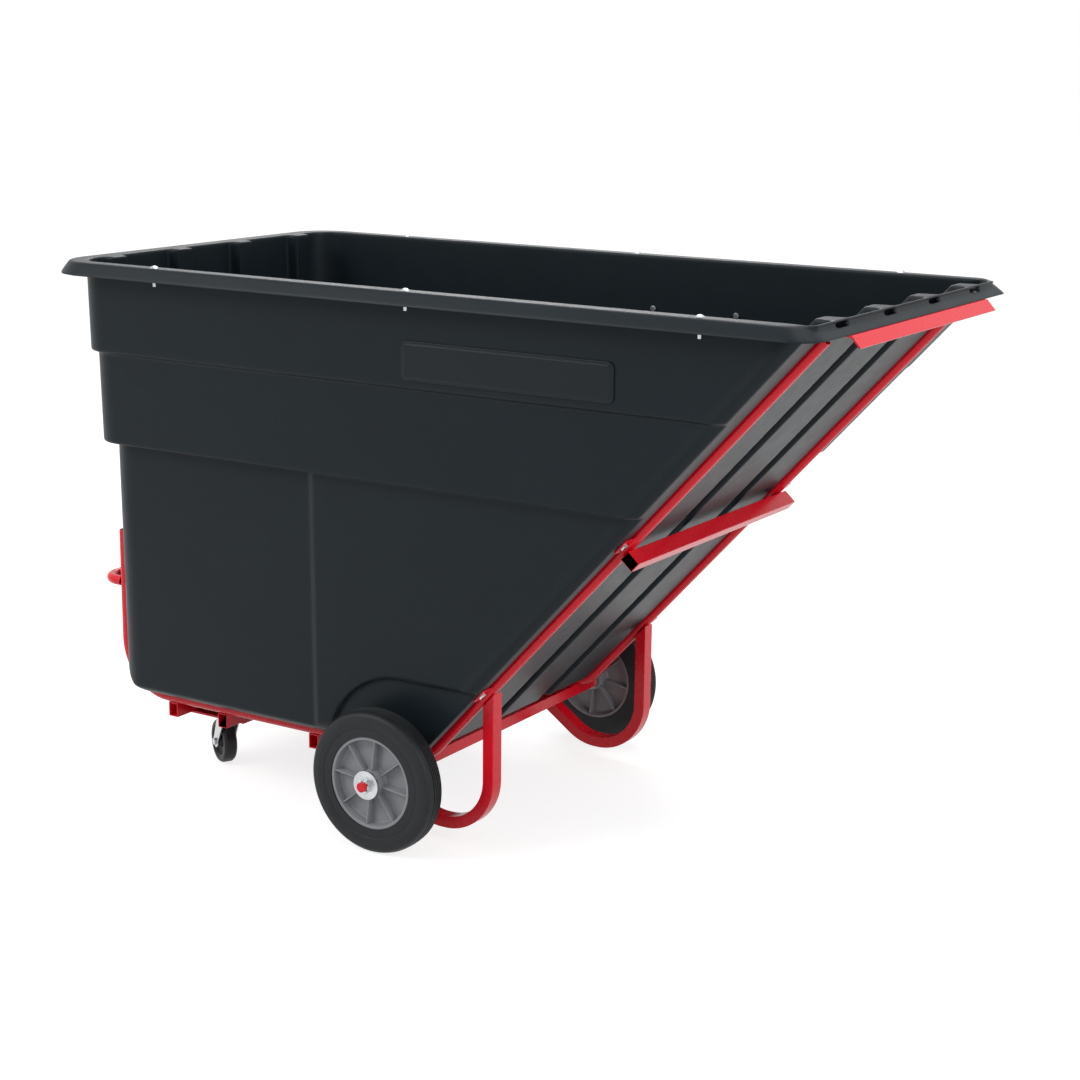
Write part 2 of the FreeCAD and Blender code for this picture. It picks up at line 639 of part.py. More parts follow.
def hopper_shape():
    """The moulded tub: outside minus cavity, with lip, arches, channels and holes."""
    seat = WALL
    lip = lip_block(0, LIP_UNDER, RIM_TOP)
    lip = lip.makeFillet(size("rim_edge"), top_edges(lip))
    upper = tier(UPPER_LEDGE, RIM_TOP, UPPER_HALF, UPPER_REAR, DRAFT, 0)
    middle = tier(LOWER_LEDGE, UPPER_LEDGE, MIDDLE_HALF, MIDDLE_REAR, DRAFT, 0)
    lower = tier(FLOOR_Z, LOWER_LEDGE, LOWER_HALF, LOWER_REAR, 0, 0, True)
    lower = lower.common(floor_trim(0))
    hollow = lip_block(seat, LIP_UNDER - 1, RIM_TOP - seat).cut(upper)
    outside = lip.cut(hollow).fuse([upper, middle, lower])
    outside = outside.cut(arch_block(0))
    outside = outside.cut(channels(0, RIM_TOP - seat))

    shift = seat
    top = RIM_TOP + size("rim_skirt")
    rise = top - RIM_TOP
    upper_in = tier(UPPER_LEDGE + shift, top, UPPER_HALF + rise * DRAFT,
                    UPPER_REAR - rise * DRAFT, DRAFT, seat)
    middle_in = tier(LOWER_LEDGE + shift, UPPER_LEDGE + shift, MIDDLE_HALF + shift * DRAFT,
                     MIDDLE_REAR - shift * DRAFT, DRAFT, seat)
    lower_in = tier(FLOOR_Z + seat, LOWER_LEDGE + shift, LOWER_HALF + shift * DRAFT,
                    LOWER_REAR, 0, seat, True)
    lower_in = lower_in.common(floor_trim(seat))
    cavity = upper_in.fuse([middle_in, lower_in])
    cavity = cavity.cut(arch_block(seat))
    cavity = cavity.cut(channels(seat, top))
    tub = outside.cut(cavity)
    return tub.cut(hopper_holes()).removeSplitter()


def screw_places():
    """The badge screws: X from the axle, height and side sign."""
    height = RIM_TOP - size("badge_screw_drop")
    reach = size("badge_screw_pitch") / 2
    return [(RIM_MIDDLE + size("badge_screw_ahead") + end * reach, height, sign)
            for _, sign in SIDES for end in (-1, 1)]


def stud_places():
    """The rim studs: X from the axle and Y."""
    side = HALF_RIM - size("stud_edge")
    return [(RIM_MIDDLE + size("stud_ahead") + step * size("stud_pitch"), sign * side)
            for _, sign in SIDES for step in (-1, 0, 1)]


def bolt_places():
    """The floor bolts: X from the axle and Y."""
    return [(-size(tube), sign * size("bolt_spread"))
            for _, sign in SIDES for tube in ("rear_tube_setback", "front_tube_setback")]


def tab_places():
    """The frame tabs: run up the slope from the foot, and side sign."""
    runs = (size("leg_ahead") / math.cos(SLOPE), size("slope_tube_up") + size("tab_length") / 2)
    return [(run, sign) for _, sign in SIDES for run in runs]


def tab_point(run, sign, out, beyond):
    """A point of a tab: its run up the dump face, height off it and reach beyond the rail."""
    return slope_point(run, sign * (RAIL_Y + RAIL_R + beyond), out)


def hopper_holes():
    """Every bolt hole through the hopper, as one group of rods."""
    holes = []
    side = Vector(0, 1, 0)
    up = Vector(0, 0, 1)
    for x, z, sign in screw_places():
        holes.append(Part.makeCylinder(size("screw_radius"), HALF_RIM, at(x, 0, z), side * sign))
    for x, y in stud_places():
        holes.append(Part.makeCylinder(size("stud_radius"), RIM_TOP, at(x, y, 0), up))
    for x, y in bolt_places():
        holes.append(Part.makeCylinder(size("bolt_radius"), LOWER_LEDGE, at(x, y, 0), up))
    for run, sign in tab_places():
        start = tab_point(run, sign, WALL, size("tab_bolt_out"))
        holes.append(Part.makeCylinder(size("tab_hole"), 3 * WALL, start, OUTWARD * -1))
    return holes


shape_node("hopper", hopper_shape())


# Badges: a blank raised plaque on each side, with two screws from the inside.
def badge(label, sign):
    """A plaque with rounded corners that leans with the hopper's side."""
    half_l, half_h = size("badge_length") / 2, size("badge_height") / 2
    thick = size("badge_thick")
    plate = Part.makeBox(2 * half_l, thick, 2 * half_h, Vector(-half_l, -thick, -half_h))
    short = [e for e in plate.Edges if abs(e.tangentAt(e.FirstParameter).y) > 0.9]
    plate = plate.makeFillet(size("badge_corner"), short)
    height = RIM_TOP - size("badge_drop")
    if sign > 0:
        plate = plate.mirror(Vector(), Vector(0, 1, 0))
    turn = Rotation(Vector(1, 0, 0), -sign * size("tub_draft"))
    where = at(RIM_MIDDLE + size("badge_ahead"), sign * side_half(height), height)
    shape_node(label, plate, Placement(where, turn))


badge("right_badge", -1)
badge("left_badge", 1)


def grouped(solids):
    """Separate solids as one shape."""
    return Part.makeCompound(solids)


screws = []
for x, z, sign in screw_places():
    face = side_half(z - size("screw_head"))
    out = Vector(0, sign, 0)
    shank = Part.makeCylinder(size("screw_radius"), WALL, at(x, sign * (face - WALL - 1), z), out)
    head_start = at(x, sign * (face - WALL - size("screw_head_height")), z)
    head = Part.makeCylinder(size("screw_head"), size("screw_head_height"), head_start, out)
    screws.append(shank.fuse(head).removeSplitter())
shape_node("badge_screws", grouped(screws))


def hexagon(flats, height, base, axis=Vector(0, 0, 1)):
    """A hexagonal prism by its width across flats."""
    radius = flats / math.sqrt(3)
    corners = [Vector(radius * math.cos(math.radians(60 * i)), radius * math.sin(math.radians(60 * i)), 0)
               for i in range(6)]
    prism = polygon_face(corners).extrude(Vector(0, 0, height))
    prism.Placement = Placement(base, Rotation(Vector(0, 0, 1), axis))
    return prism


def dome(radius, height, base):
    """A shallow domed head on a flat base."""
    ball = (radius ** 2 + height ** 2) / (2 * height)
    sphere = Part.makeSphere(ball, base + Vector(0, 0, height - ball))
    block = Part.makeCylinder(radius, height, base)
    return sphere.common(block)


studs, stud_nuts = [], []
for x, y in stud_places():
    shank = Part.makeCylinder(size("stud_radius"), size("stud_length"),
                              at(x, y, RIM_TOP - size("stud_length")))
    studs.append(shank.fuse(dome(size("stud_head"), size("stud_dome"), at(x, y, RIM_TOP))).removeSplitter())
    nut_base = RIM_TOP - WALL - size("nut_height")
    bored = hexagon(size("nut_flats"), size("nut_height"), at(x, y, nut_base))
    stud_nuts.append(bored.cut(Part.makeCylinder(size("stud_radius"), RIM_TOP, at(x, y, 0))))
shape_node("rim_studs", grouped(studs))
shape_node("rim_stud_nuts", grouped(stud_nuts))


# Frame: two bent rails, cross tubes, legs, push bar and the angle under the dump lip.
def rail(sign):
    """One round rail: up the rear wall, under the floor and up the dump face."""
    y = sign * size("rail_spread")
    low = size("rail_height")
    reach = LIP_UNDER - size("lip_bar_thick") - size("seat_gap") - RAIL_R * math.cos(SLOPE)
    points = [
        at(RAIL_REAR, y, size("rail_top")),
        at(RAIL_REAR, y, low),
        at(FOOT_X, y, low),
        at(slope_x(reach), y, reach),
    ]
    path = rounded_path(points, [size("rail_rear_bend"), size("rail_bend")])
    return round_tube(path, RAIL_R, size("rail_wall"))


def leg(sign):
    """One foot loop: down from the dump face, round, and back up to the rail."""
    y = sign * size("leg_spread")
    half_thin = size("box_thin") / 2
    x = FOOT_X + size("leg_ahead")
    low = size("leg_clearance") + half_thin
    rise = math.radians(size("leg_rise_angle"))
    bend = size("leg_bend")
    turn = x - bend - size("leg_flat") - bend * math.tan(rise / 2)
    top = slope_point(0, y, RAIL_R)
    top_z = top.z + (AXLE_X + x + half_thin - top.x) * math.tan(SLOPE)
    end_x = turn - (RAIL_UNDER + RAIL_R - low) / math.tan(rise)
    points = [at(x, y, top_z), at(x, y, low), at(turn, y, low), at(end_x, y, RAIL_UNDER + RAIL_R)]
    path = rounded_path(points, [bend, bend])
    tube = box_tube(path, size("box_deep") / 2, half_thin, size("box_wall"))
    under = Part.makeBox(size("rim_length"), size("rim_width"), RAIL_UNDER, at(RIM_REAR, -HALF_RIM, 0))
    below_slope = polygon_face([
        slope_point(0, -HALF_RIM, RAIL_R + size("seat_gap")),
        slope_point(size("rim_length"), -HALF_RIM, RAIL_R + size("seat_gap")),
        Vector(AXLE_X + RIM_FRONT, -HALF_RIM, 0),
        Vector(slope_point(0, 0, RAIL_R).x, -HALF_RIM, 0),
    ]).extrude(Vector(0, size("rim_width"), 0))
    return tube.common(under.fuse(below_slope)).removeSplitter()


for name, sign in SIDES:
    shape_node(f"{name}_rail", rail(sign))
    shape_node(f"{name}_leg", leg(sign))

push_y = size("rail_spread")
push_x = RAIL_REAR - size("handle_reach")
push_start = RAIL_REAR - RAIL_R - size("seat_gap")
push_points = [
    at(push_start, -push_y, size("handle_height")),
    at(push_x, -push_y, size("handle_height")),
    at(push_x, push_y, size("handle_height")),
    at(push_start, push_y, size("handle_height")),
]
push_path = rounded_path(push_points, [size("handle_bend")] * 2)
shape_node("push_bar", round_tube(push_path, size("handle_size") / 2, size("handle_wall")))


def cross_tube(label, setback):
    """An open-ended rectangular tube under both rails."""
    outer = box(f"{label}_outer", ("s.box_thin", "2 * s.cross_reach", "s.box_deep"),
                (f"s.axle_x - s.{setback} - s.box_thin / 2", "-s.cross_reach", "s.cross_z"))
    inner = box(f"{label}_inner",
                ("s.box_thin - 2 * s.box_wall", "2 * s.cross_reach + 2", "s.box_deep - 2 * s.box_wall"),
                (f"s.axle_x - s.{setback} - s.box_thin / 2 + s.box_wall", "-s.cross_reach - 1",
                 "s.cross_z + s.box_wall"))
    tube = cut(f"{label}_tube", outer, inner)
    if setback == "middle_tube_setback":
        return keep(label, tube)
    holes = [rod(f"{label}_hole_{name}", "s.bolt_radius", "2 * s.box_deep",
                 (f"s.axle_x - s.{setback}", f"{sign} * s.bolt_spread", "s.cross_z - s.box_deep / 2"), "z")
             for name, sign in SIDES]
    return keep(label, cut(f"{label}_drilled", tube, fuse(f"{label}_holes", holes)))


cross_tube("rear_cross_tube", "rear_tube_setback")
cross_tube("middle_cross_tube", "middle_tube_setback")
cross_tube("front_cross_tube", "front_tube_setback")

bolts, bolt_nuts = [], []
for x, y in bolt_places():
    head_z = FLOOR_Z + WALL
    shank_z = PLATE_TOP - size("bolt_nut_height") - size("bolt_tip")
    shank = Part.makeCylinder(size("bolt_radius"), head_z - shank_z, at(x, y, shank_z))
    head = dome(size("bolt_head"), size("bolt_head_height"), at(x, y, head_z))
    bolts.append(shank.fuse(head).removeSplitter())
    nut = hexagon(size("bolt_nut_flats"), size("bolt_nut_height"),
                  at(x, y, PLATE_TOP - size("bolt_nut_height")))
    bolt_nuts.append(nut.cut(Part.makeCylinder(size("bolt_radius"), RIM_TOP, at(x, y, 0))))
shape_node("floor_bolts", grouped(bolts))
shape_node("floor_nuts", grouped(bolt_nuts))

# Slope cross tube: turned to lie along the dump face, on the outside of both rails.
slope_tube_skins = []
for inset in (0, size("box_wall")):
    reach = size("slope_tube_reach") + (1 if inset else 0)
    along = size("box_thin") / 2 - inset
    near = RAIL_R + size("seat_gap") + inset
    far = RAIL_R + size("seat_gap") + size("box_deep") - inset
    up = size("slope_tube_up")
    face = polygon_face([slope_point(up + a, -reach, n)
                         for a, n in ((-along, near), (along, near), (along, far), (-along, far))])
    slope_tube_skins.append(face.extrude(Vector(0, 2 * reach, 0)))
shape_node("slope_cross_tube", slope_tube_skins[0].cut(slope_tube_skins[1]))

tabs, tab_bolts = [], []
for run, sign in tab_places():
    half_run, half_wide = size("tab_length") / 2, size("tab_width") / 2
    corner = tab_point(run - half_run, sign, size("seat_gap"), half_wide) - Vector(0, half_wide, 0)
    tab_face = Part.Face(Part.makePolygon([
        corner, corner + ALONG * 2 * half_run, corner + ALONG * 2 * half_run + Vector(0, 2 * half_wide, 0),
        corner + Vector(0, 2 * half_wide, 0), corner]))
    plate = tab_face.extrude(OUTWARD * size("tab_thick"))
    hole_start = tab_point(run, sign, WALL, size("tab_bolt_out"))
    hole = Part.makeCylinder(size("tab_hole"), 2 * WALL, hole_start, OUTWARD * -1)
    tabs.append(plate.cut(hole))
    face_out = size("seat_gap") + size("tab_thick")
    shank_start = tab_point(run, sign, face_out, size("tab_bolt_out"))
    shank = Part.makeCylinder(size("tab_hole"), face_out + WALL + size("bolt_tip"), shank_start, OUTWARD * -1)
    head = hexagon(2 * size("tab_hole") * 1.7, size("tab_hole"), shank_start, OUTWARD)
    tab_bolts.append(shank.fuse(head).removeSplitter())
shape_node("frame_tabs", grouped(tabs))
shape_node("tab_bolts", grouped(tab_bolts))


def lip_angle():
    """The bar under the dump lip: a level flange, a slanted face and a tab at each rail."""
    half = RAIL_Y + size("lip_bar_overhang")
    thick = size("lip_bar_thick")
    back = slope_x(LIP_UNDER) + size("seat_gap")
    front = RIM_FRONT + size("lip_bar_step")
    down = Vector(math.sin(LEAN), 0, -math.cos(LEAN)) * size("lip_bar_face")
    behind = Vector(-math.cos(LEAN), 0, -math.sin(LEAN)) * thick
    corner = at(front, -half, LIP_UNDER)
    face = polygon_face([corner, corner + down, corner + down + behind, corner + behind])
    flange = Part.makeBox(front - back, 2 * half, thick, at(back, -half, LIP_UNDER - thick))
    parts = [face.extrude(Vector(0, 2 * half, 0))]
    reach = size("lip_bar_tab_reach")
    for _, sign in SIDES:
        low_y = sign * RAIL_Y - size("lip_bar_tab") / 2
        parts.append(Part.makeBox(reach + thick, size("lip_bar_tab"), thick,
                                  at(back - reach, low_y, LIP_UNDER - thick)))
    return flange.fuse(parts).removeSplitter()


shape_node("lip_angle", lip_angle())

# Axle: a rectangular tube under the rails, with a round shaft through it.
bar = cut("axle_tube_body",
          box("axle_tube_outer", ("s.box_deep", "2 * s.bar_reach", "s.box_thin"),
              ("s.axle_x - s.box_deep / 2", "-s.bar_reach", "s.axle_z - s.box_thin / 2")),
          rod("axle_tube_bore", "s.shaft_radius", "2 * s.bar_reach + 2",
              ("s.axle_x", "-s.bar_reach - 1", "s.axle_z"), "y"))
keep("axle_tube", bar)

saddles = [box(f"saddle_{name}", ("s.saddle_length", "s.rail_size", "s.saddle_thick"),
               ("s.axle_x - s.saddle_length / 2", f"{sign} * s.rail_spread - s.rail_size / 2",
                "s.rail_under - s.saddle_thick"))
           for name, sign in SIDES]
keep("axle_saddles", fuse("saddle_pair", saddles))

shaft = rod("shaft_rod", "s.shaft_radius", "2 * s.shaft_reach", ("s.axle_x", "-s.shaft_reach", "s.axle_z"), "y")
pin_holes = [rod(f"pin_hole_{name}", "s.cotter_radius", "4 * s.shaft_radius",
                 ("s.axle_x", f"{sign} * s.cotter_y", "s.axle_z - 2 * s.shaft_radius"), "z")
             for name, sign in SIDES]
keep("axle_shaft", cut("shaft_drilled", shaft, fuse("pin_holes", pin_holes)))


def ring(name, radius, thick, start_y):
    """A flat ring round the axle."""
    disc = rod(f"{name}_disc", radius, thick, ("s.axle_x", start_y, "s.axle_z"), "y")
    hole = rod(f"{name}_hole", "s.shaft_radius", f"{thick} + 2", ("s.axle_x", f"{start_y} - 1", "s.axle_z"), "y")
    return cut(name, disc, hole)


collars = [ring("collar_left", "s.collar_radius", "s.collar_thick", "s.bar_reach"),
           ring("collar_right", "s.collar_radius", "s.collar_thick", "-s.bar_reach - s.collar_thick")]
keep("axle_inner_washers", fuse("collar_pair", collars))
caps = [ring("cap_left", "s.cap_radius", "s.cap_thick", "s.cap_y"),
        ring("cap_right", "s.cap_radius", "s.cap_thick", "-s.cap_y - s.cap_thick")]
keep("axle_outer_washers", fuse("cap_pair", caps))

castle_nuts, cotters = [], []
for _, sign in SIDES:
    out = Vector(0, sign, 0)
    base = at(0, sign * NUT_Y, AXLE_Z)
    nut = hexagon(size("castle_flats"), size("castle_height"), base, out)
    nut = nut.cut(Part.makeCylinder(size("shaft_radius"), size("castle_height"), base, out))
    for index in range(3):
        slot = Part.makeBox(4 * size("shaft_radius"), size("castle_slot_depth"), size("castle_slot"),
                            Vector(-2 * size("shaft_radius"), 0, -size("castle_slot") / 2))
        slot.rotate(Vector(), Vector(0, 1, 0), 90 + 60 * index)
        low = NUT_Y + size("castle_height") - size("castle_slot_depth")
        slot.translate(at(0, low if sign > 0 else -low - size("castle_slot_depth"), AXLE_Z))
        nut = nut.cut(slot)
    castle_nuts.append(nut)
    reach = size("castle_flats") / 2 + size("cotter_radius")
    cotters.append(Part.makeCylinder(size("cotter_radius"), 2 * reach,
                                     at(0, sign * COTTER_Y, AXLE_Z - reach)))
shape_node("castle_nuts", grouped(castle_nuts))
shape_node("cotter_pins", grouped(cotters))


# Large wheels: tyre, ribbed wheel and bush, turned profiles about the axle.
def revolved_body(name, outline):
    """A body turned about its own X axis from corner points given as formulas."""
    body = doc.addObject("PartDesign::Body", name)
    plane = [f for f in body.Origin.OriginFeatures if f.Role == "XY_Plane"][0]
    sketch = body.newObject("Sketcher::SketchObject", f"{name}_outline")
    sketch.AttachmentSupport = [(plane, "")]
    sketch.MapMode = "FlatFace"
    numbers = [[sheet.evalExpression(f.replace("s.", "Sizes.")) for f in pair] for pair in outline]
    points = [Vector(float(a), float(b), 0) for a, b in numbers]
    count = len(points)
    for index in range(count):
        sketch.addGeometry(Part.LineSegment(points[index], points[(index + 1) % count]), False)
    for index in range(count):
        sketch.addConstraint(Sketcher.Constraint("Coincident", index, 2, (index + 1) % count, 1))
    for index, pair in enumerate(outline):
        for kind, formula, value in zip(("DistanceX", "DistanceY"), pair, numbers[index]):
            rule = sketch.addConstraint(Sketcher.Constraint(kind, -1, 1, index, 1, float(value)))
            sketch.setExpression(f"Constraints[{rule}]", formula.replace("s.", "Sizes."))
    turned = body.newObject("PartDesign::Revolution", f"{name}_turned")
    turned.Profile = sketch
    turned.ReferenceAxis = (sketch, ["H_Axis"])
    turned.Angle = 360
    return body, turned


# Axial places are counted from a plane one hub length inside the hub's inner end.
RIM_START = "s.hub_length * 1.5 - s.wheel_rim_width / 2"
RIM_END = "s.hub_length * 1.5 + s.wheel_rim_width / 2"
WEB_START = "s.hub_length * 1.5 - s.wheel_web / 2"
WEB_END = "s.hub_length * 1.5 + s.wheel_web / 2"
TYRE_START = "s.hub_length * 1.5 - s.tyre_width / 2"
TYRE_END = "s.hub_length * 1.5 + s.tyre_width / 2"
HUB_START = "s.hub_length"
HUB_END = "s.hub_length * 2"
BUSH_OUT = "s.shaft_radius + s.running_gap + s.bush_wall"
BUSH_IN = "s.shaft_radius + s.running_gap"
RIM_IN = "s.rim_seat - s.wheel_rim_wall"


def place_wheel(item, sign):
    """Turn a wheel piece so that its local X runs outwards along the axle."""
    turn = Rotation(Vector(0, 0, 1), 90 * sign)
    item.Placement = Placement(Vector(), turn)
    place_at(item, "s.axle_x", f"{sign} * (s.hub_inner - s.hub_length)", "s.axle_z", turn)


def large_wheel(name, sign):
    """The three pieces of one large wheel."""
    wheel, _ = revolved_body(f"{name}_wheel_turned", [
        (HUB_START, BUSH_OUT), (HUB_END, BUSH_OUT), (HUB_END, "s.hub_radius"),
        (WEB_END, "s.hub_radius"), (WEB_END, RIM_IN), (RIM_END, RIM_IN), (RIM_END, "s.rim_seat"),
        (RIM_START, "s.rim_seat"), (RIM_START, RIM_IN), (WEB_START, RIM_IN),
        (WEB_START, "s.hub_radius"), (HUB_START, "s.hub_radius"),
    ])
    pieces = [wheel]
    for index in range(int(size("wheel_ribs"))):
        rib = doc.addObject("Part::Box", f"{name}_rib_{index}")
        bind(rib, Length="s.wheel_rim_width - 2 * s.rib_setback", Width="s.wheel_rib",
             Height="s.rim_seat - s.wheel_rim_wall / 2 - s.hub_radius + s.bush_wall")
        angle = 360 / size("wheel_ribs") * index
        turn = Rotation(Vector(1, 0, 0), angle)
        rib.Placement = Placement(Vector(), turn)
        lift = "(s.hub_radius - s.bush_wall)"
        side = math.radians(angle)
        rib.setExpression("Placement.Base.x", "Sizes.hub_length * 1.5 - Sizes.wheel_rim_width / 2 + Sizes.rib_setback")
        rib.setExpression("Placement.Base.y", (f"{-math.sin(side)} * {lift} - {math.cos(side)} * s.wheel_rib / 2")
                          .replace("s.", "Sizes."))
        rib.setExpression("Placement.Base.z", (f"{math.cos(side)} * {lift} - {math.sin(side)} * s.wheel_rib / 2")
                          .replace("s.", "Sizes."))
        pieces.append(rib)
    whole = fuse(f"{name}_wheel_ribbed", pieces)
    place_wheel(whole, sign)
    keep(f"{name}_wheel", whole)

    tyre, turned = revolved_body(f"{name}_tyre_body", [
        (TYRE_START, "s.rim_seat"), (TYRE_END, "s.rim_seat"),
        (TYRE_END, "s.wheel_radius"), (TYRE_START, "s.wheel_radius"),
    ])
    doc.recompute()
    shoulders = [f"Edge{i + 1}" for i, e in enumerate(turned.Shape.Edges)
                 if hasattr(e.Curve, "Radius") and e.Curve.Radius > size("wheel_radius") - 1]
    rounding = tyre.newObject("PartDesign::Fillet", f"{name}_tyre_shoulders")
    rounding.Base = (turned, shoulders)
    bind(rounding, Radius="s.tyre_shoulder")
    place_wheel(tyre, sign)
    keep(f"{name}_tyre", tyre)

    bush, _ = revolved_body(f"{name}_bush_body", [
        (HUB_START, BUSH_IN), (HUB_END, BUSH_IN), (HUB_END, BUSH_OUT), (HUB_START, BUSH_OUT),
    ])
    place_wheel(bush, sign)
    keep(f"{name}_wheel_bush", bush)


for name, sign in SIDES:
    large_wheel(name, sign)

# Casters: a carrier plate across two cross tubes, and a swivelling fork with its wheel.
carriers = [box(f"carrier_{name}",
                ("s.caster_tube_pitch + s.box_thin", "s.plate_width", "s.plate_thick"),
                ("s.axle_x - s.rear_tube_setback - s.box_thin / 2",
                 f"{sign} * s.plate_spread - s.plate_width / 2", "s.plate_z"))
            for name, sign in SIDES]
carrier_pair = fuse("carrier_pair", carriers)
doc.recompute()


def caster_middle(sign):
    """The swivel axis of a caster on the ground."""
    return at(-size("caster_setback"), sign * size("plate_spread"), 0)


def plate_bolt_places(sign):
    """The four bolts of one caster's top plate."""
    middle = caster_middle(sign)
    half_x, half_y = size("plate_bolt_pitch_x") / 2, size("plate_bolt_pitch_y") / 2
    return [middle + Vector(a * half_x, b * half_y, 0) for a in (-1, 1) for b in (-1, 1)]


plate_holes = [Part.makeCylinder(size("plate_bolt"), RIM_TOP, place)
               for _, sign in SIDES for place in plate_bolt_places(sign)]
shape_node("caster_carriers", carrier_pair.Shape.cut(plate_holes))

plate_bolts = []
for _, sign in SIDES:
    for place in plate_bolt_places(sign):
        low = BASE_Z - size("plate_bolt")
        high = PLATE_TOP
        shank = Part.makeCylinder(size("plate_bolt"), high - low, place + Vector(0, 0, low))
        head = hexagon(3.2 * size("plate_bolt"), size("plate_bolt"), place + Vector(0, 0, low))
        nut = hexagon(3.2 * size("plate_bolt"), size("plate_bolt"), place + Vector(0, 0, high))
        plate_bolts.append(shank.fuse([head, nut]).removeSplitter())
shape_node("caster_bolts", grouped(plate_bolts))


def caster(name, sign):
    """One caster: fixed base and kingpin, swivelling fork and axle, and the wheel."""
    middle = caster_middle(sign)
    up = Vector(0, 0, 1)
    half_l, half_w = size("caster_base_length") / 2, size("caster_base_width") / 2
    base = Part.makeBox(2 * half_l, 2 * half_w, size("caster_base_thick"),
                        middle + Vector(-half_l, -half_w, BASE_Z))
    race = Part.makeCylinder(size("race_radius"), size("race_height"), middle + up * RACE_Z)
    pin_bore = Part.makeCylinder(size("kingpin_radius"), RIM_TOP, middle)
    base = base.fuse(race).cut([pin_bore] + plate_holes).removeSplitter()
    shape_node(f"{name}_caster_base", base)

    pin = Part.makeCylinder(size("kingpin_radius"), PLATE_Z - KING_Z, middle + up * KING_Z)
    head = Part.makeCylinder(size("kingpin_head"), size("kingpin_head_height"), middle + up * KING_Z)
    shape_node(f"{name}_caster_kingpin", pin.fuse(head).removeSplitter())

    # Fork, axle and wheel are made about the swivel axis, then turned to their rest angle.
    rest = Placement(middle, Rotation(up, sign * size("caster_turn_angle")))
    trail = -size("caster_trail")
    axle_z = size("caster_radius")
    end = size("fork_end")
    crown = Part.makeCylinder(size("race_radius"), size("crown_height"), up * CROWN_Z)
    crown_half = FORK_INSIDE + size("fork_thick")
    bridge = Part.makeBox(2 * (size("race_radius") - end / 2), 2 * crown_half, size("crown_height"),
                          Vector(end / 2 - size("race_radius"), -crown_half, CROWN_Z))
    legs = []
    for leg_sign in (-1, 1):
        inner = FORK_INSIDE if leg_sign > 0 else -crown_half
        blade = polygon_face([
            Vector(end / 2 - size("race_radius"), inner, CROWN_TOP),
            Vector(size("race_radius") - end / 2, inner, CROWN_TOP),
            Vector(trail + end, inner, axle_z),
            Vector(trail - end, inner, axle_z),
        ]).extrude(Vector(0, size("fork_thick"), 0))
        foot = Part.makeCylinder(end, size("fork_thick"), Vector(trail, inner, axle_z), Vector(0, 1, 0))
        legs.append(blade.fuse(foot))
    fork = crown.fuse([bridge] + legs)
    bore = Part.makeCylinder(size("kingpin_radius") + size("running_gap"), RIM_TOP, Vector())
    axle_line = Vector(trail, -2 * crown_half, axle_z)
    axle_bore = Part.makeCylinder(size("caster_axle"), 4 * crown_half, axle_line, Vector(0, 1, 0))
    fork = fork.cut([bore, axle_bore]).removeSplitter()
    shape_node(f"{name}_caster_fork", fork, rest)

    head_r = 1.6 * size("caster_axle")
    pieces = [Part.makeCylinder(size("caster_axle"), 2 * crown_half,
                                Vector(trail, -crown_half, axle_z), Vector(0, 1, 0))]
    for place in (-crown_half - size("caster_axle"), crown_half):
        pieces.append(Part.makeCylinder(head_r, size("caster_axle"), Vector(trail, place, axle_z),
                                        Vector(0, 1, 0)))
    shape_node(f"{name}_caster_axle", pieces[0].fuse(pieces[1:]).removeSplitter(), rest)

    half = size("caster_width") / 2
    hub_half = FORK_INSIDE - size("side_gap")
    hub_r = 3 * size("caster_axle")
    turn_line = Vector(0, 1, 0)

    def drum(radius, reach):
        return Part.makeCylinder(radius, 2 * reach, Vector(trail, -reach, axle_z), turn_line)

    core = drum(size("caster_core"), half).fuse(drum(hub_r, hub_half))
    core = core.cut(drum(size("caster_axle") + size("running_gap"), 2 * half)).removeSplitter()
    shape_node(f"{name}_caster_wheel", core, rest)
    tread = drum(size("caster_radius"), half)
    outer_edges = [e for e in tread.Edges if hasattr(e.Curve, "Radius")]
    tread = tread.makeFillet(half / 3, outer_edges).cut(drum(size("caster_core"), 2 * half))
    shape_node(f"{name}_caster_tread", tread, rest)


for name, sign in SIDES:
    caster(name, sign)

doc.recompute()

# Nothing is written unless every object and every sub-part is sound.
for item in doc.Objects:
    if "Invalid" in item.State or "Error" in item.State:
        raise RuntimeError(f"{item.Label} did not compute")
for label, item in NODES.items():
    if item.Shape.isNull() or not item.Shape.isValid():
        raise RuntimeError(f"{label} has no sound shape")

os.makedirs("parts", exist_ok=True)
for label, item in NODES.items():
    item.Shape.exportStep(f"parts/{label}.step")
print(len(NODES), "sub-parts written")
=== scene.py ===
import json
import math

import bmesh
import bpy
from mathutils import Matrix, Vector


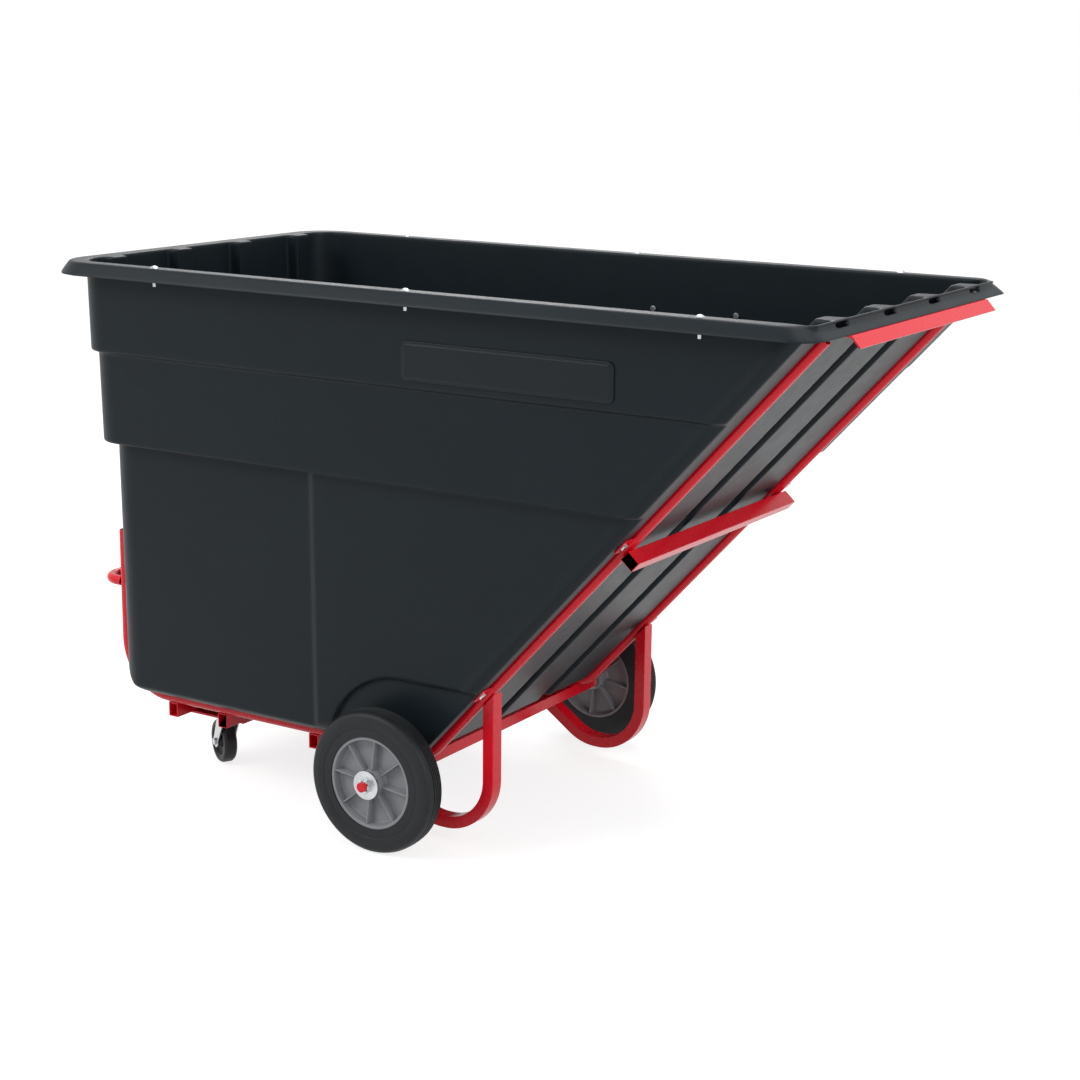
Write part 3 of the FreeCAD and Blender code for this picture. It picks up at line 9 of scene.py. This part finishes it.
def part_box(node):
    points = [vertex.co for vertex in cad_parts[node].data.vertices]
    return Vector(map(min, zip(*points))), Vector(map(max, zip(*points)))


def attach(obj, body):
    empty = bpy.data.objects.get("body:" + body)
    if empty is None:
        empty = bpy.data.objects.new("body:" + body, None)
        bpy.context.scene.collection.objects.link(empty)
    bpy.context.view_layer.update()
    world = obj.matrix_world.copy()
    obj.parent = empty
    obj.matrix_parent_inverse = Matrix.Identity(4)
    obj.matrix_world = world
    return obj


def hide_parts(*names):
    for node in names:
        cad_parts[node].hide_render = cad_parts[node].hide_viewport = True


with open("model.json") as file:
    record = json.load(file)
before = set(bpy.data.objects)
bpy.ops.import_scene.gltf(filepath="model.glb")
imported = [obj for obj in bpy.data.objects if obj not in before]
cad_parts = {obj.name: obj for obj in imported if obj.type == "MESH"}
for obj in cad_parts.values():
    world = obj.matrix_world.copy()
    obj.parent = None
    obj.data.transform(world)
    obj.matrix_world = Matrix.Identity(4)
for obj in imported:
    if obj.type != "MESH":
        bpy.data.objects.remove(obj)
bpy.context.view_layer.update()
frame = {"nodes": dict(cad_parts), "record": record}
NODES = frame["nodes"]

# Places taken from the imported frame, so that pieces follow the model.
shaft_low, shaft_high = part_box("axle_shaft")
AXLE_X = (shaft_low.x + shaft_high.x) / 2
AXLE_Z = (shaft_low.z + shaft_high.z) / 2
AXLE = Vector((AXLE_X, 0, AXLE_Z))
SIDES = (("right", -1), ("left", 1))


# Camera: the photograph's viewing angle, worked out from the rim, wheels and tubes.
CAMERA_FROM_AXLE = Vector((2.4851, -3.7794, 1.6438))
CAMERA_PITCH = 0.2339
CAMERA_YAW = 0.5611
CAMERA_ROLL = -0.0110
CAMERA_LENS = 72.06
SENSOR_WIDTH = 36


def add_camera():
    """The scene's camera, aimed by pitch, yaw and roll."""
    look = Vector((-math.sin(CAMERA_YAW) * math.cos(CAMERA_PITCH),
                   math.cos(CAMERA_YAW) * math.cos(CAMERA_PITCH),
                   -math.sin(CAMERA_PITCH)))
    right = Vector((math.cos(CAMERA_YAW), math.sin(CAMERA_YAW), 0))
    down = look.cross(right)
    c, s = math.cos(CAMERA_ROLL), math.sin(CAMERA_ROLL)
    x_axis = right * c + down * s
    y_axis = -(down * c - right * s)
    matrix = Matrix((x_axis, y_axis, -look)).transposed().to_4x4()
    matrix.translation = CAMERA_FROM_AXLE + Vector((AXLE_X, 0, 0))
    data = bpy.data.cameras.new("camera")
    data.lens = CAMERA_LENS
    data.sensor_width = SENSOR_WIDTH
    data.sensor_fit = "HORIZONTAL"
    data.clip_end = 100
    camera = bpy.data.objects.new("camera", data)
    bpy.context.collection.objects.link(camera)
    camera.matrix_world = matrix
    bpy.context.scene.camera = camera


# Materials.
class Shader:
    """A short way to build one procedural material."""

    def __init__(self, name):
        self.material = bpy.data.materials.new(name)
        self.material.use_nodes = True
        self.tree = self.material.node_tree
        self.bsdf = self.tree.nodes["Principled BSDF"]
        self.place = self.node("TexCoord").outputs["Object"]

    def node(self, kind, **values):
        """A node with its properties and unlinked inputs set; sockets are linked."""
        item = self.tree.nodes.new("ShaderNode" + kind)
        for key, value in values.items():
            if key in item.inputs:
                self.put(item.inputs[key], value)
            else:
                setattr(item, key, value)
        return item

    def put(self, socket, value):
        """Link a socket or set its value."""
        if isinstance(value, bpy.types.NodeSocket):
            self.tree.links.new(value, socket)
        else:
            socket.default_value = value

    def set(self, **values):
        """Set the shader's own sockets; underscores stand for spaces."""
        for key, value in values.items():
            self.put(self.bsdf.inputs[key.replace("_", " ")], value)

    def noise(self, scale, detail=2.0, rough=0.5, place=None):
        """A noise value between 0 and 1."""
        item = self.node("TexNoise", Scale=scale, Detail=detail, Roughness=rough,
                         Vector=place or self.place)
        return item.outputs["Fac"]

    def ramp(self, value, low, high, out_low=0.0, out_high=1.0):
        """Map a range of a value to another range, clamped."""
        item = self.node("MapRange", Value=value)
        item.inputs["From Min"].default_value = low
        item.inputs["From Max"].default_value = high
        item.inputs["To Min"].default_value = out_low
        item.inputs["To Max"].default_value = out_high
        return item.outputs["Result"]

    def blend(self, factor, first, second):
        """A colour between two colours."""
        item = self.node("Mix", data_type="RGBA")
        self.put(item.inputs["Factor"], factor)
        for socket, value in zip(("A", "B"), (first, second)):
            target = [s for s in item.inputs if s.name == socket and s.type == "RGBA"][0]
            self.put(target, value)
        return [s for s in item.outputs if s.type == "RGBA"][0]

    def bump(self, height, distance, strength=1.0, under=None):
        """A bump whose distance is in metres."""
        item = self.node("Bump", Height=height, Distance=distance, Strength=strength)
        if under is not None:
            self.put(item.inputs["Normal"], under)
        return item.outputs["Normal"]

    def stretched(self, x, y, z):
        """Object coordinates scaled along each axis."""
        return self.node("Mapping", Vector=self.place, Scale=(x, y, z)).outputs["Vector"]


def rgb(red, green, blue):
    """A colour given in linear light."""
    return (red, green, blue, 1.0)


def plastic(name, base, worn, rough, grain, gloss=0.5, scuffs=0.0):
    """Moulded plastic: fine grain, slow unevenness, and paler rubbed places."""
    s = Shader(name)
    cloud = s.noise(6.0, 4.0, 0.55)
    s.set(Base_Color=s.blend(s.ramp(cloud, 0.35, 0.75), rgb(*base), rgb(*worn)))
    s.set(Specular_IOR_Level=gloss)
    s.set(Roughness=s.ramp(s.noise(30.0, 3.0, 0.6), 0.25, 0.75, rough - 0.025, rough + 0.035))
    normal = s.bump(s.noise(3.2, 2.0), 0.0012, 0.30)
    normal = s.bump(s.noise(750.0, 2.0, 0.6), grain, 1.0, normal)
    if scuffs:
        lines = s.noise(60.0, 6.0, 0.7, s.stretched(0.35, 0.35, 6.0))
        normal = s.bump(s.ramp(lines, 0.64, 0.72), scuffs, 1.0, normal)
    s.set(Normal=normal)
    return s.material


def paint(name, base, shade, rough):
    """Powder coat: an even gloss with faint orange peel."""
    s = Shader(name)
    s.set(Base_Color=s.blend(s.ramp(s.noise(5.0, 2.0), 0.35, 0.7), rgb(*base), rgb(*shade)))
    s.set(Roughness=s.ramp(s.noise(60.0, 2.0), 0.2, 0.8, rough - 0.02, rough + 0.03))
    s.set(Specular_IOR_Level=0.30, Coat_Weight=0.05, Coat_Roughness=0.12)
    s.set(Normal=s.bump(s.noise(110.0, 1.0, 0.4), 0.00003))
    return s.material


def metal(name, base, dull, rough):
    """Plated metal with faint clouding."""
    s = Shader(name)
    colour = s.blend(s.ramp(s.noise(45.0, 4.0, 0.6), 0.3, 0.7), rgb(*base), rgb(*dull))
    s.set(Base_Color=colour, Metallic=1.0)
    s.set(Roughness=s.ramp(s.noise(160.0, 3.0), 0.2, 0.8, rough - 0.07, rough + 0.1))
    s.set(Normal=s.bump(s.noise(900.0, 2.0), 0.00003))
    return s.material


def rubber(name, base, dust, rough):
    """Rubber with a dusty bloom and a fine matt skin."""
    s = Shader(name)
    bloom = s.noise(16.0, 5.0, 0.65)
    s.set(Specular_IOR_Level=0.28)
    s.set(Base_Color=s.blend(s.ramp(bloom, 0.35, 0.8), rgb(*base), rgb(*dust)))
    s.set(Roughness=s.ramp(s.noise(50.0, 3.0), 0.2, 0.8, rough - 0.05, rough + 0.07))
    s.set(Normal=s.bump(s.noise(1100.0, 2.0, 0.6), 0.00010))
    return s.material


HOPPER_SKIN = plastic("hopper_skin", (0.0066, 0.0112, 0.0148), (0.0078, 0.0128, 0.0168),
                      rough=0.40, grain=0.00009, gloss=0.15, scuffs=0.00003)
BADGE_SKIN = plastic("badge_skin", (0.0035, 0.0068, 0.0092), (0.0045, 0.0080, 0.0105),
                     rough=0.36, grain=0.00016, gloss=0.22)
WHEEL_SKIN = plastic("wheel_skin", (0.235, 0.245, 0.26), (0.28, 0.29, 0.305),
                     rough=0.40, grain=0.00010)
CORE_SKIN = plastic("core_skin", (0.010, 0.010, 0.012), (0.014, 0.014, 0.016),
                    rough=0.38, grain=0.0001, gloss=0.3)
RED_COAT = paint("red_coat", (0.78, 0.0050, 0.0200), (0.75, 0.0047, 0.0190), rough=0.27)
ZINC = metal("zinc_plate", (0.60, 0.61, 0.62), (0.48, 0.50, 0.52), rough=0.28)
TYRE_SKIN = rubber("tyre_skin", (0.0085, 0.0105, 0.0125), (0.0120, 0.0140, 0.0155), rough=0.50)
TREAD_SKIN = rubber("caster_skin", (0.010, 0.010, 0.011), (0.016, 0.016, 0.017), rough=0.45)


# Mesh helpers.
def add_object(name, mesh):
    """A new object in the scene from a mesh."""
    obj = bpy.data.objects.new(name, mesh)
    bpy.context.collection.objects.link(obj)
    return obj


def settle(obj):
    """Apply every modifier of an object into a plain mesh."""
    bpy.context.view_layer.update()
    graph = bpy.context.evaluated_depsgraph_get()
    mesh = bpy.data.meshes.new_from_object(obj.evaluated_get(graph), depsgraph=graph)
    old = obj.data
    obj.modifiers.clear()
    obj.data = mesh
    bpy.data.meshes.remove(old)


def finish_piece(obj, material, body, slot, *nodes):
    """Material, body and replaced nodes of one piece; the slot argument is not used."""
    obj.data.materials.clear()
    obj.data.materials.append(material)
    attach(obj, body)
    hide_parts(*nodes)


def smooth_by_angle(obj, degrees):
    """Smooth shading with hard edges kept above an angle."""
    mesh = obj.data
    mesh.polygons.foreach_set("use_smooth", [True] * len(mesh.polygons))
    mesh.set_sharp_from_angle(angle=math.radians(degrees))


def weigh_normals(obj):
    """Keep flat faces flat beside small rounded edges, as a plain mesh."""
    item = obj.modifiers.new("flat_faces", "WEIGHTED_NORMAL")
    item.mode = "FACE_AREA"
    item.weight = 90
    item.keep_sharp = True
    settle(obj)


def eased(node, name, width, material, body, slot, angle=28.0, segments=3):
    """A CAD node's shape with its coplanar triangles joined and its sharp edges eased."""
    obj = add_object(name, NODES[node].data.copy())
    mesh = bmesh.new()
    mesh.from_mesh(obj.data)
    bmesh.ops.remove_doubles(mesh, verts=mesh.verts, dist=1e-6)
    bmesh.ops.dissolve_limit(mesh, angle_limit=math.radians(0.4), verts=mesh.verts,
                             edges=mesh.edges)
    mesh.to_mesh(obj.data)
    mesh.free()
    bevel = obj.modifiers.new("ease", "BEVEL")
    bevel.width = width
    bevel.segments = segments
    bevel.limit_method = "ANGLE"
    bevel.angle_limit = math.radians(angle)
    bevel.use_clamp_overlap = True
    settle(obj)
    smooth_by_angle(obj, 35)
    weigh_normals(obj)
    finish_piece(obj, material, body, slot, node)


def moulded(node, name, voxel, rounds, keep):
    """A CAD node's shape with every edge softened as a rotational mould leaves it."""
    obj = add_object(name, NODES[node].data.copy())
    skin = obj.modifiers.new("skin", "REMESH")
    skin.mode = "VOXEL"
    skin.voxel_size = voxel
    soften = obj.modifiers.new("soften", "SMOOTH")
    soften.factor = 0.5
    soften.iterations = rounds
    settle(obj)
    thin = obj.modifiers.new("thin", "DECIMATE")
    thin.ratio = keep
    settle(obj)
    obj.data.polygons.foreach_set("use_smooth", [True] * len(obj.data.polygons))
    weigh_normals(obj)
    return obj


def lathe(name, outline, steps, centre, side):
    """Turn a closed outline of (distance along the axle, radius) about the axle's line."""
    count = len(outline)
    verts = []
    for step in range(steps):
        angle = 2 * math.pi * step / steps
        for along, radius in outline:
            verts.append((centre.x + radius * math.cos(angle), side * along,
                          centre.z + radius * math.sin(angle)))
    faces = []
    for step in range(steps):
        after = (step + 1) % steps
        for index in range(count):
            following = (index + 1) % count
            faces.append((step * count + index, after * count + index,
                          after * count + following, step * count + following))
    mesh = bpy.data.meshes.new(name)
    mesh.from_pydata(verts, [], faces)
    obj = add_object(name, mesh)
    tidy = bmesh.new()
    tidy.from_mesh(mesh)
    bmesh.ops.recalc_face_normals(tidy, faces=tidy.faces)
    tidy.to_mesh(mesh)
    tidy.free()
    return obj


def rounded_outline(corners, steps=5):
    """An outline of (along, radius, rounding) corners with each corner rounded."""
    points = []
    count = len(corners)
    for index, (along, radius, rounding) in enumerate(corners):
        here = Vector((along, radius))
        if rounding <= 0:
            points.append((here.x, here.y))
            continue
        before = Vector(corners[index - 1][:2])
        after = Vector(corners[(index + 1) % count][:2])
        come = (before - here).normalized()
        leave = (after - here).normalized()
        half = come.angle(leave) / 2
        reach = rounding / math.tan(half)
        middle = here + (come + leave).normalized() * (rounding / math.sin(half))
        start = here + come * reach - middle
        end = here + leave * reach - middle
        for step in range(steps + 1):
            share = step / steps
            arm = (start * (1 - share) + end * share).normalized() * rounding
            points.append((middle.x + arm.x, middle.y + arm.y))
    return points


def broad_face(node, side):
    """The middle and outward direction of a node's broad outer face."""
    mesh = NODES[node].data
    faces = [face for face in mesh.polygons if face.normal.y * side > 0.9]
    area = sum(face.area for face in faces)
    middle = sum((face.center * face.area for face in faces), Vector()) / area
    normal = sum((face.normal * face.area for face in faces), Vector()).normalized()
    return middle, normal


def plaque_ring(half_long, half_high, corner, inset, steps=6):
    """A rounded rectangle as (along, up) pairs, shrunk by an inset."""
    ring = []
    reach = max(corner - inset, 0.0006)
    for quarter in range(4):
        turn = quarter * math.pi / 2
        sign_along = 1 if quarter in (0, 3) else -1
        sign_up = 1 if quarter in (0, 1) else -1
        for step in range(steps + 1):
            angle = turn + math.pi / 2 * step / steps
            ring.append((sign_along * (half_long - inset - reach) + reach * math.cos(angle),
                         sign_up * (half_high - inset - reach) + reach * math.sin(angle)))
    return ring


# Pieces.
def build_hopper():
    """The tub, with softened edges."""
    voxel = 0.0032
    rounds = 8
    keep = 0.16
    tub = moulded("hopper", "hopper_shell", voxel, rounds, keep)
    finish_piece(tub, HOPPER_SKIN, "frame", "hopper_plastic", "hopper")


def build_frame():
    """Every red and zinc piece that stays on the frame."""
    box_pieces = ("rear_cross_tube", "middle_cross_tube", "front_cross_tube", "slope_cross_tube",
                  "right_leg", "left_leg", "lip_angle", "axle_tube", "axle_saddles",
                  "caster_carriers", "frame_tabs")
    for node in ("right_rail", "left_rail", "push_bar"):
        eased(node, node + "_eased", 0.0007, RED_COAT, "frame", "red_paint", angle=50.0)
    for node in box_pieces:
        width = 0.0022 if node.endswith(("tube", "leg")) else 0.0007
        eased(node, node + "_eased", width, RED_COAT, "frame", "red_paint")
    for name, side in SIDES:
        build_plaque(f"{name}_badge", side)
    for node in ("floor_bolts", "floor_nuts", "tab_bolts", "caster_bolts", "castle_nuts",
                 "rim_stud_nuts", "badge_screws"):
        eased(node, node + "_eased", 0.0006, ZINC, "frame", "zinc", segments=2)


PLAQUE_THICK = 0.005
PLAQUE_CORNER = 0.012


def build_plaque(node, side):
    """A blank plaque: a low border round a raised panel."""
    middle, normal = broad_face(node, side)
    low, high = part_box(node)
    up = normal.cross(Vector((1, 0, 0))) * side
    up = up if up.z > 0 else -up
    half_long = (high.x - low.x) / 2
    half_high = ((high.z - low.z) - PLAQUE_THICK * abs(normal.z)) / 2 / up.z
    levels = ((0.0, PLAQUE_THICK), (0.0, 0.0030), (0.0005, 0.0022), (0.0014, 0.0018), (0.0052, 0.0018),
              (0.0060, 0.0014), (0.0066, 0.0006), (0.0074, 0.0002), (0.0086, 0.0))
    mesh = bmesh.new()
    rings = []
    for inset, depth in levels:
        ring = plaque_ring(half_long, half_high, PLAQUE_CORNER, inset)
        rings.append([mesh.verts.new(middle + Vector((along, 0, 0)) + up * rise - normal * depth)
                      for along, rise in ring])
    count = len(rings[0])
    for lower, upper in zip(rings, rings[1:]):
        for i in range(count):
            mesh.faces.new((lower[i], lower[(i + 1) % count], upper[(i + 1) % count], upper[i]))
    mesh.faces.new(rings[0])
    mesh.faces.new(rings[-1])
    bmesh.ops.recalc_face_normals(mesh, faces=mesh.faces)
    data = bpy.data.meshes.new(node + "_plaque")
    mesh.to_mesh(data)
    mesh.free()
    plaque = add_object(node + "_plaque", data)
    smooth_by_angle(plaque, 40)
    weigh_normals(plaque)
    finish_piece(plaque, BADGE_SKIN, "frame", "badge_plastic", node)


TYRE_HALF = 0.026
TYRE_OUT = 0.150
TYRE_SEAT = 0.097


def build_tyre(name, side, middle_y):
    """A tyre with a ribbed tread and a moulded sidewall line."""
    corners = [(-TYRE_HALF + 0.002, TYRE_SEAT, 0), (-TYRE_HALF + 0.001, 0.112, 0.004),
               (-TYRE_HALF, 0.128, 0.006), (-TYRE_HALF + 0.002, TYRE_OUT - 0.004, 0.010)]
    grooves = []
    for place in (-0.0165, -0.0105, -0.0045, 0.0015, 0.0075):
        crown = TYRE_OUT - 0.0001 - 4.0 * place * place
        grooves += [(place - 0.0016, crown, 0.0003), (place - 0.0008, crown - 0.0030, 0.0003),
                    (place + 0.0008, crown - 0.0030, 0.0003), (place + 0.0016, crown, 0.0003)]
    far = [(TYRE_HALF - 0.002, TYRE_OUT - 0.005, 0.012), (TYRE_HALF, 0.128, 0.006),
           (TYRE_HALF - 0.0008, 0.1165, 0.0006), (TYRE_HALF - 0.0022, 0.1150, 0.0006),
           (TYRE_HALF - 0.0015, 0.1130, 0.0006), (TYRE_HALF - 0.002, TYRE_SEAT, 0)]
    outline = [(middle_y + along, radius)
               for along, radius in rounded_outline(corners + grooves + far)]
    tyre = lathe(f"{name}_tyre_skin", outline, 160, AXLE, side)
    smooth_by_angle(tyre, 60)
    finish_piece(tyre, TYRE_SKIN, f"{name}_wheel", "tyre_rubber", f"{name}_tyre")


RIB_COUNT = 8
RIB_TILT = math.radians(7)
RIB_DROP = 0.002
RIB_ENDS = (0.024, 0.0925)


def build_wheel(name, side, middle_y):
    """A ribbed wheel: rounded rim, dished web, tapered ribs and a long hub."""
    hub_low, hub_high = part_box(f"{name}_wheel_bush")
    ends = sorted((abs(hub_low.y), abs(hub_high.y)))
    inner = ends[0] - middle_y
    outer = ends[1] - middle_y
    bore = (hub_high.x - hub_low.x) / 2
    half = 0.022
    profile = [
        (outer, bore, 0), (outer, 0.0265, 0.0015), (0.004, 0.0285, 0.004), (0.003, 0.088, 0.004),
        (half, 0.0905, 0.0010), (half, TYRE_SEAT, 0.0012), (-half, TYRE_SEAT, 0.0012),
        (-half, 0.0905, 0.0010), (-0.003, 0.088, 0.004), (-0.004, 0.0285, 0.004),
        (inner, 0.0265, 0.0015), (inner, bore, 0),
    ]
    outline = [(middle_y + along, radius) for along, radius in rounded_outline(profile, 4)]
    wheel = lathe(f"{name}_wheel_casting", outline, 128, AXLE, side)
    mesh = bmesh.new()
    mesh.from_mesh(wheel.data)
    for index in range(RIB_COUNT):
        angle = 2 * math.pi * index / RIB_COUNT + math.pi / 2 - RIB_TILT
        add_ribs(mesh, side, middle_y, angle, half - RIB_DROP)
    mesh.to_mesh(wheel.data)
    mesh.free()
    smooth_by_angle(wheel, 40)
    finish_piece(wheel, WHEEL_SKIN, f"{name}_wheel", "wheel_plastic", f"{name}_wheel",
                 f"{name}_wheel_bush")


def add_ribs(mesh, side, middle_y, angle, height):
    """One rib on each face of the web, thinner at its free edge."""
    direction = Vector((math.cos(angle), 0, math.sin(angle)))
    across = Vector((-math.sin(angle), 0, math.cos(angle)))
    for face in (-1, 1):
        levels = ((0.000, 0.0024), (height - 0.0012, 0.0014), (height - 0.0003, 0.0011),
                  (height, 0.0006))
        rings = []
        for radius in RIB_ENDS:
            ring = []
            for sign in (-1, 1):
                ordered = levels if sign < 0 else levels[::-1]
                for rise, thick in ordered:
                    point = AXLE + direction * radius + across * (sign * thick)
                    point.y = side * (middle_y + face * rise)
                    ring.append(mesh.verts.new(point))
            rings.append(ring)
        count = len(rings[0])
        faces = [mesh.faces.new((rings[0][i], rings[0][(i + 1) % count],
                                 rings[1][(i + 1) % count], rings[1][i])) for i in range(count)]
        faces.append(mesh.faces.new(rings[0]))
        faces.append(mesh.faces.new(rings[1][::-1]))
        bmesh.ops.recalc_face_normals(mesh, faces=faces)


def build_wheels():
    """Both large wheels with their tyres."""
    for name, side in SIDES:
        low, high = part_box(f"{name}_tyre")
        middle_y = abs(low.y + high.y) / 2
        build_tyre(name, side, middle_y)
        build_wheel(name, side, middle_y)


CASTER_TREAD = ((-0.0150, 0.037, 0), (-0.0150, 0.046, 0.004), (-0.0095, 0.050, 0.005),
                (0.0095, 0.050, 0.005), (0.0150, 0.046, 0.004), (0.0150, 0.037, 0))
CASTER_CORE = ((-0.0150, 0.0052, 0), (-0.0150, 0.0120, 0.0015), (-0.0060, 0.0150, 0.0030),
               (-0.0060, 0.0300, 0.0030), (-0.0135, 0.0330, 0.0012), (-0.0135, 0.0370, 0),
               (0.0135, 0.0370, 0), (0.0135, 0.0330, 0.0012), (0.0060, 0.0300, 0.0030),
               (0.0060, 0.0150, 0.0030), (0.0150, 0.0120, 0.0015), (0.0150, 0.0052, 0))


def build_casters():
    """Both casters: a rubber tread on a dished core, in a plated fork."""
    joints = frame["record"]["behaviour"]["joints"]
    axes = {joint["name"]: Vector(joint["axis"]) for joint in joints}
    for name, _ in SIDES:
        fork = f"{name}_caster_fork"
        body = f"{name}_caster_wheel"
        axis = axes[f"{name}_caster_roll"]
        low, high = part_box(body)
        place = Matrix.Translation((low + high) / 2) @ Matrix.Rotation(
            math.atan2(-axis.x, axis.y), 4, "Z")
        for label, profile, material, slot, node in (
                ("tread_ring", CASTER_TREAD, TREAD_SKIN, "caster_rubber", f"{name}_caster_tread"),
                ("dished_core", CASTER_CORE, CORE_SKIN, "caster_core", body)):
            piece = lathe(f"{name}_{label}", rounded_outline(profile), 96, Vector(), 1)
            piece.data.transform(place)
            smooth_by_angle(piece, 40)
            finish_piece(piece, material, body, slot, node)
        eased(fork, fork + "_eased", 0.0006, ZINC, fork, "zinc", segments=2)
        eased(f"{name}_caster_axle", f"{name}_caster_axle_eased", 0.0006, ZINC, fork, "zinc",
              segments=2)
        for part in ("base", "kingpin"):
            node = f"{name}_caster_{part}"
            eased(node, node + "_eased", 0.0006, ZINC, "frame", "zinc", segments=2)


def dress_cad():
    """Better materials on the CAD nodes that stay: the shaft, washers, pins and studs."""
    for name, obj in NODES.items():
        if not obj.hide_render:
            obj.data.materials.clear()
            obj.data.materials.append(RED_COAT if name == "axle_shaft" else ZINC)


# Light and floor.
def add_light(name, place, aim, width, height, power):
    """A soft rectangular lamp."""
    data = bpy.data.lights.new(name, "AREA")
    data.shape = "RECTANGLE"
    data.size = width
    data.size_y = height
    data.energy = power
    lamp = bpy.data.objects.new(name, data)
    bpy.context.collection.objects.link(lamp)
    lamp.location = place
    lamp.rotation_euler = (Vector(aim) - Vector(place)).to_track_quat("-Z", "Y").to_euler()


def seen_directly(tree):
    """1 for rays that see a surface directly, in a mirror or through glass, otherwise 0."""
    path = tree.nodes.new("ShaderNodeLightPath")
    total = path.outputs["Is Camera Ray"]
    for ray in ("Is Glossy Ray", "Is Transmission Ray"):
        item = tree.nodes.new("ShaderNodeMath")
        item.operation = "ADD"
        item.use_clamp = True
        tree.links.new(total, item.inputs[0])
        tree.links.new(path.outputs[ray], item.inputs[1])
        total = item.outputs["Value"]
    return total


FLOOR_SIZE = 60
FLOOR_GREY = 0.45
FLOOR_GLOW = 0.77
WORLD_LIGHT = 0.55


def add_floor():
    """A white floor that keeps the truck's soft shadow."""
    bpy.ops.mesh.primitive_plane_add(size=FLOOR_SIZE, location=(0, 0, 0))
    floor = bpy.context.object
    floor.name = "floor"
    s = Shader("floor_white")
    s.set(Base_Color=rgb(FLOOR_GREY, FLOOR_GREY, FLOOR_GREY), Roughness=0.9)
    s.set(Emission_Color=rgb(1, 1, 1))
    s.set(Emission_Strength=s.ramp(seen_directly(s.tree), 0, 1, 0, FLOOR_GLOW))
    floor.data.materials.append(s.material)


def add_world():
    """A plain pale world that is white where it is seen."""
    world = bpy.data.worlds.new("studio")
    bpy.context.scene.world = world
    world.use_nodes = True
    tree = world.node_tree
    light = tree.nodes["Background"]
    light.inputs["Color"].default_value = rgb(1, 1, 1)
    light.inputs["Strength"].default_value = WORLD_LIGHT
    plain = tree.nodes.new("ShaderNodeBackground")
    plain.inputs["Color"].default_value = rgb(1, 1, 1)
    plain.inputs["Strength"].default_value = 1.0
    pick = tree.nodes.new("ShaderNodeMixShader")
    tree.links.new(seen_directly(tree), pick.inputs["Fac"])
    tree.links.new(light.outputs["Background"], pick.inputs[1])
    tree.links.new(plain.outputs["Background"], pick.inputs[2])
    tree.links.new(pick.outputs["Shader"], tree.nodes["World Output"].inputs["Surface"])


def add_stage():
    """A white floor, a plain pale world and soft studio light."""
    add_floor()
    add_world()
    add_light("key", (-2.6, -3.6, 3.6), (0, 0, 0.7), 2.6, 2.0, 110)
    add_light("fill", (4.2, -1.6, 2.2), (0.2, 0, 0.6), 2.4, 2.4, 60)
    add_light("top", (0, 0.6, 4.2), (0, 0, 0.6), 3.0, 2.0, 80)
    add_light("back", (-2.4, 3.2, 3.4), (0.3, 0, 0.9), 2.4, 1.4, 55)


add_camera()
build_hopper()
build_frame()
build_wheels()
build_casters()
dress_cad()
add_stage()
bpy.context.scene.view_settings.view_transform = "Standard"
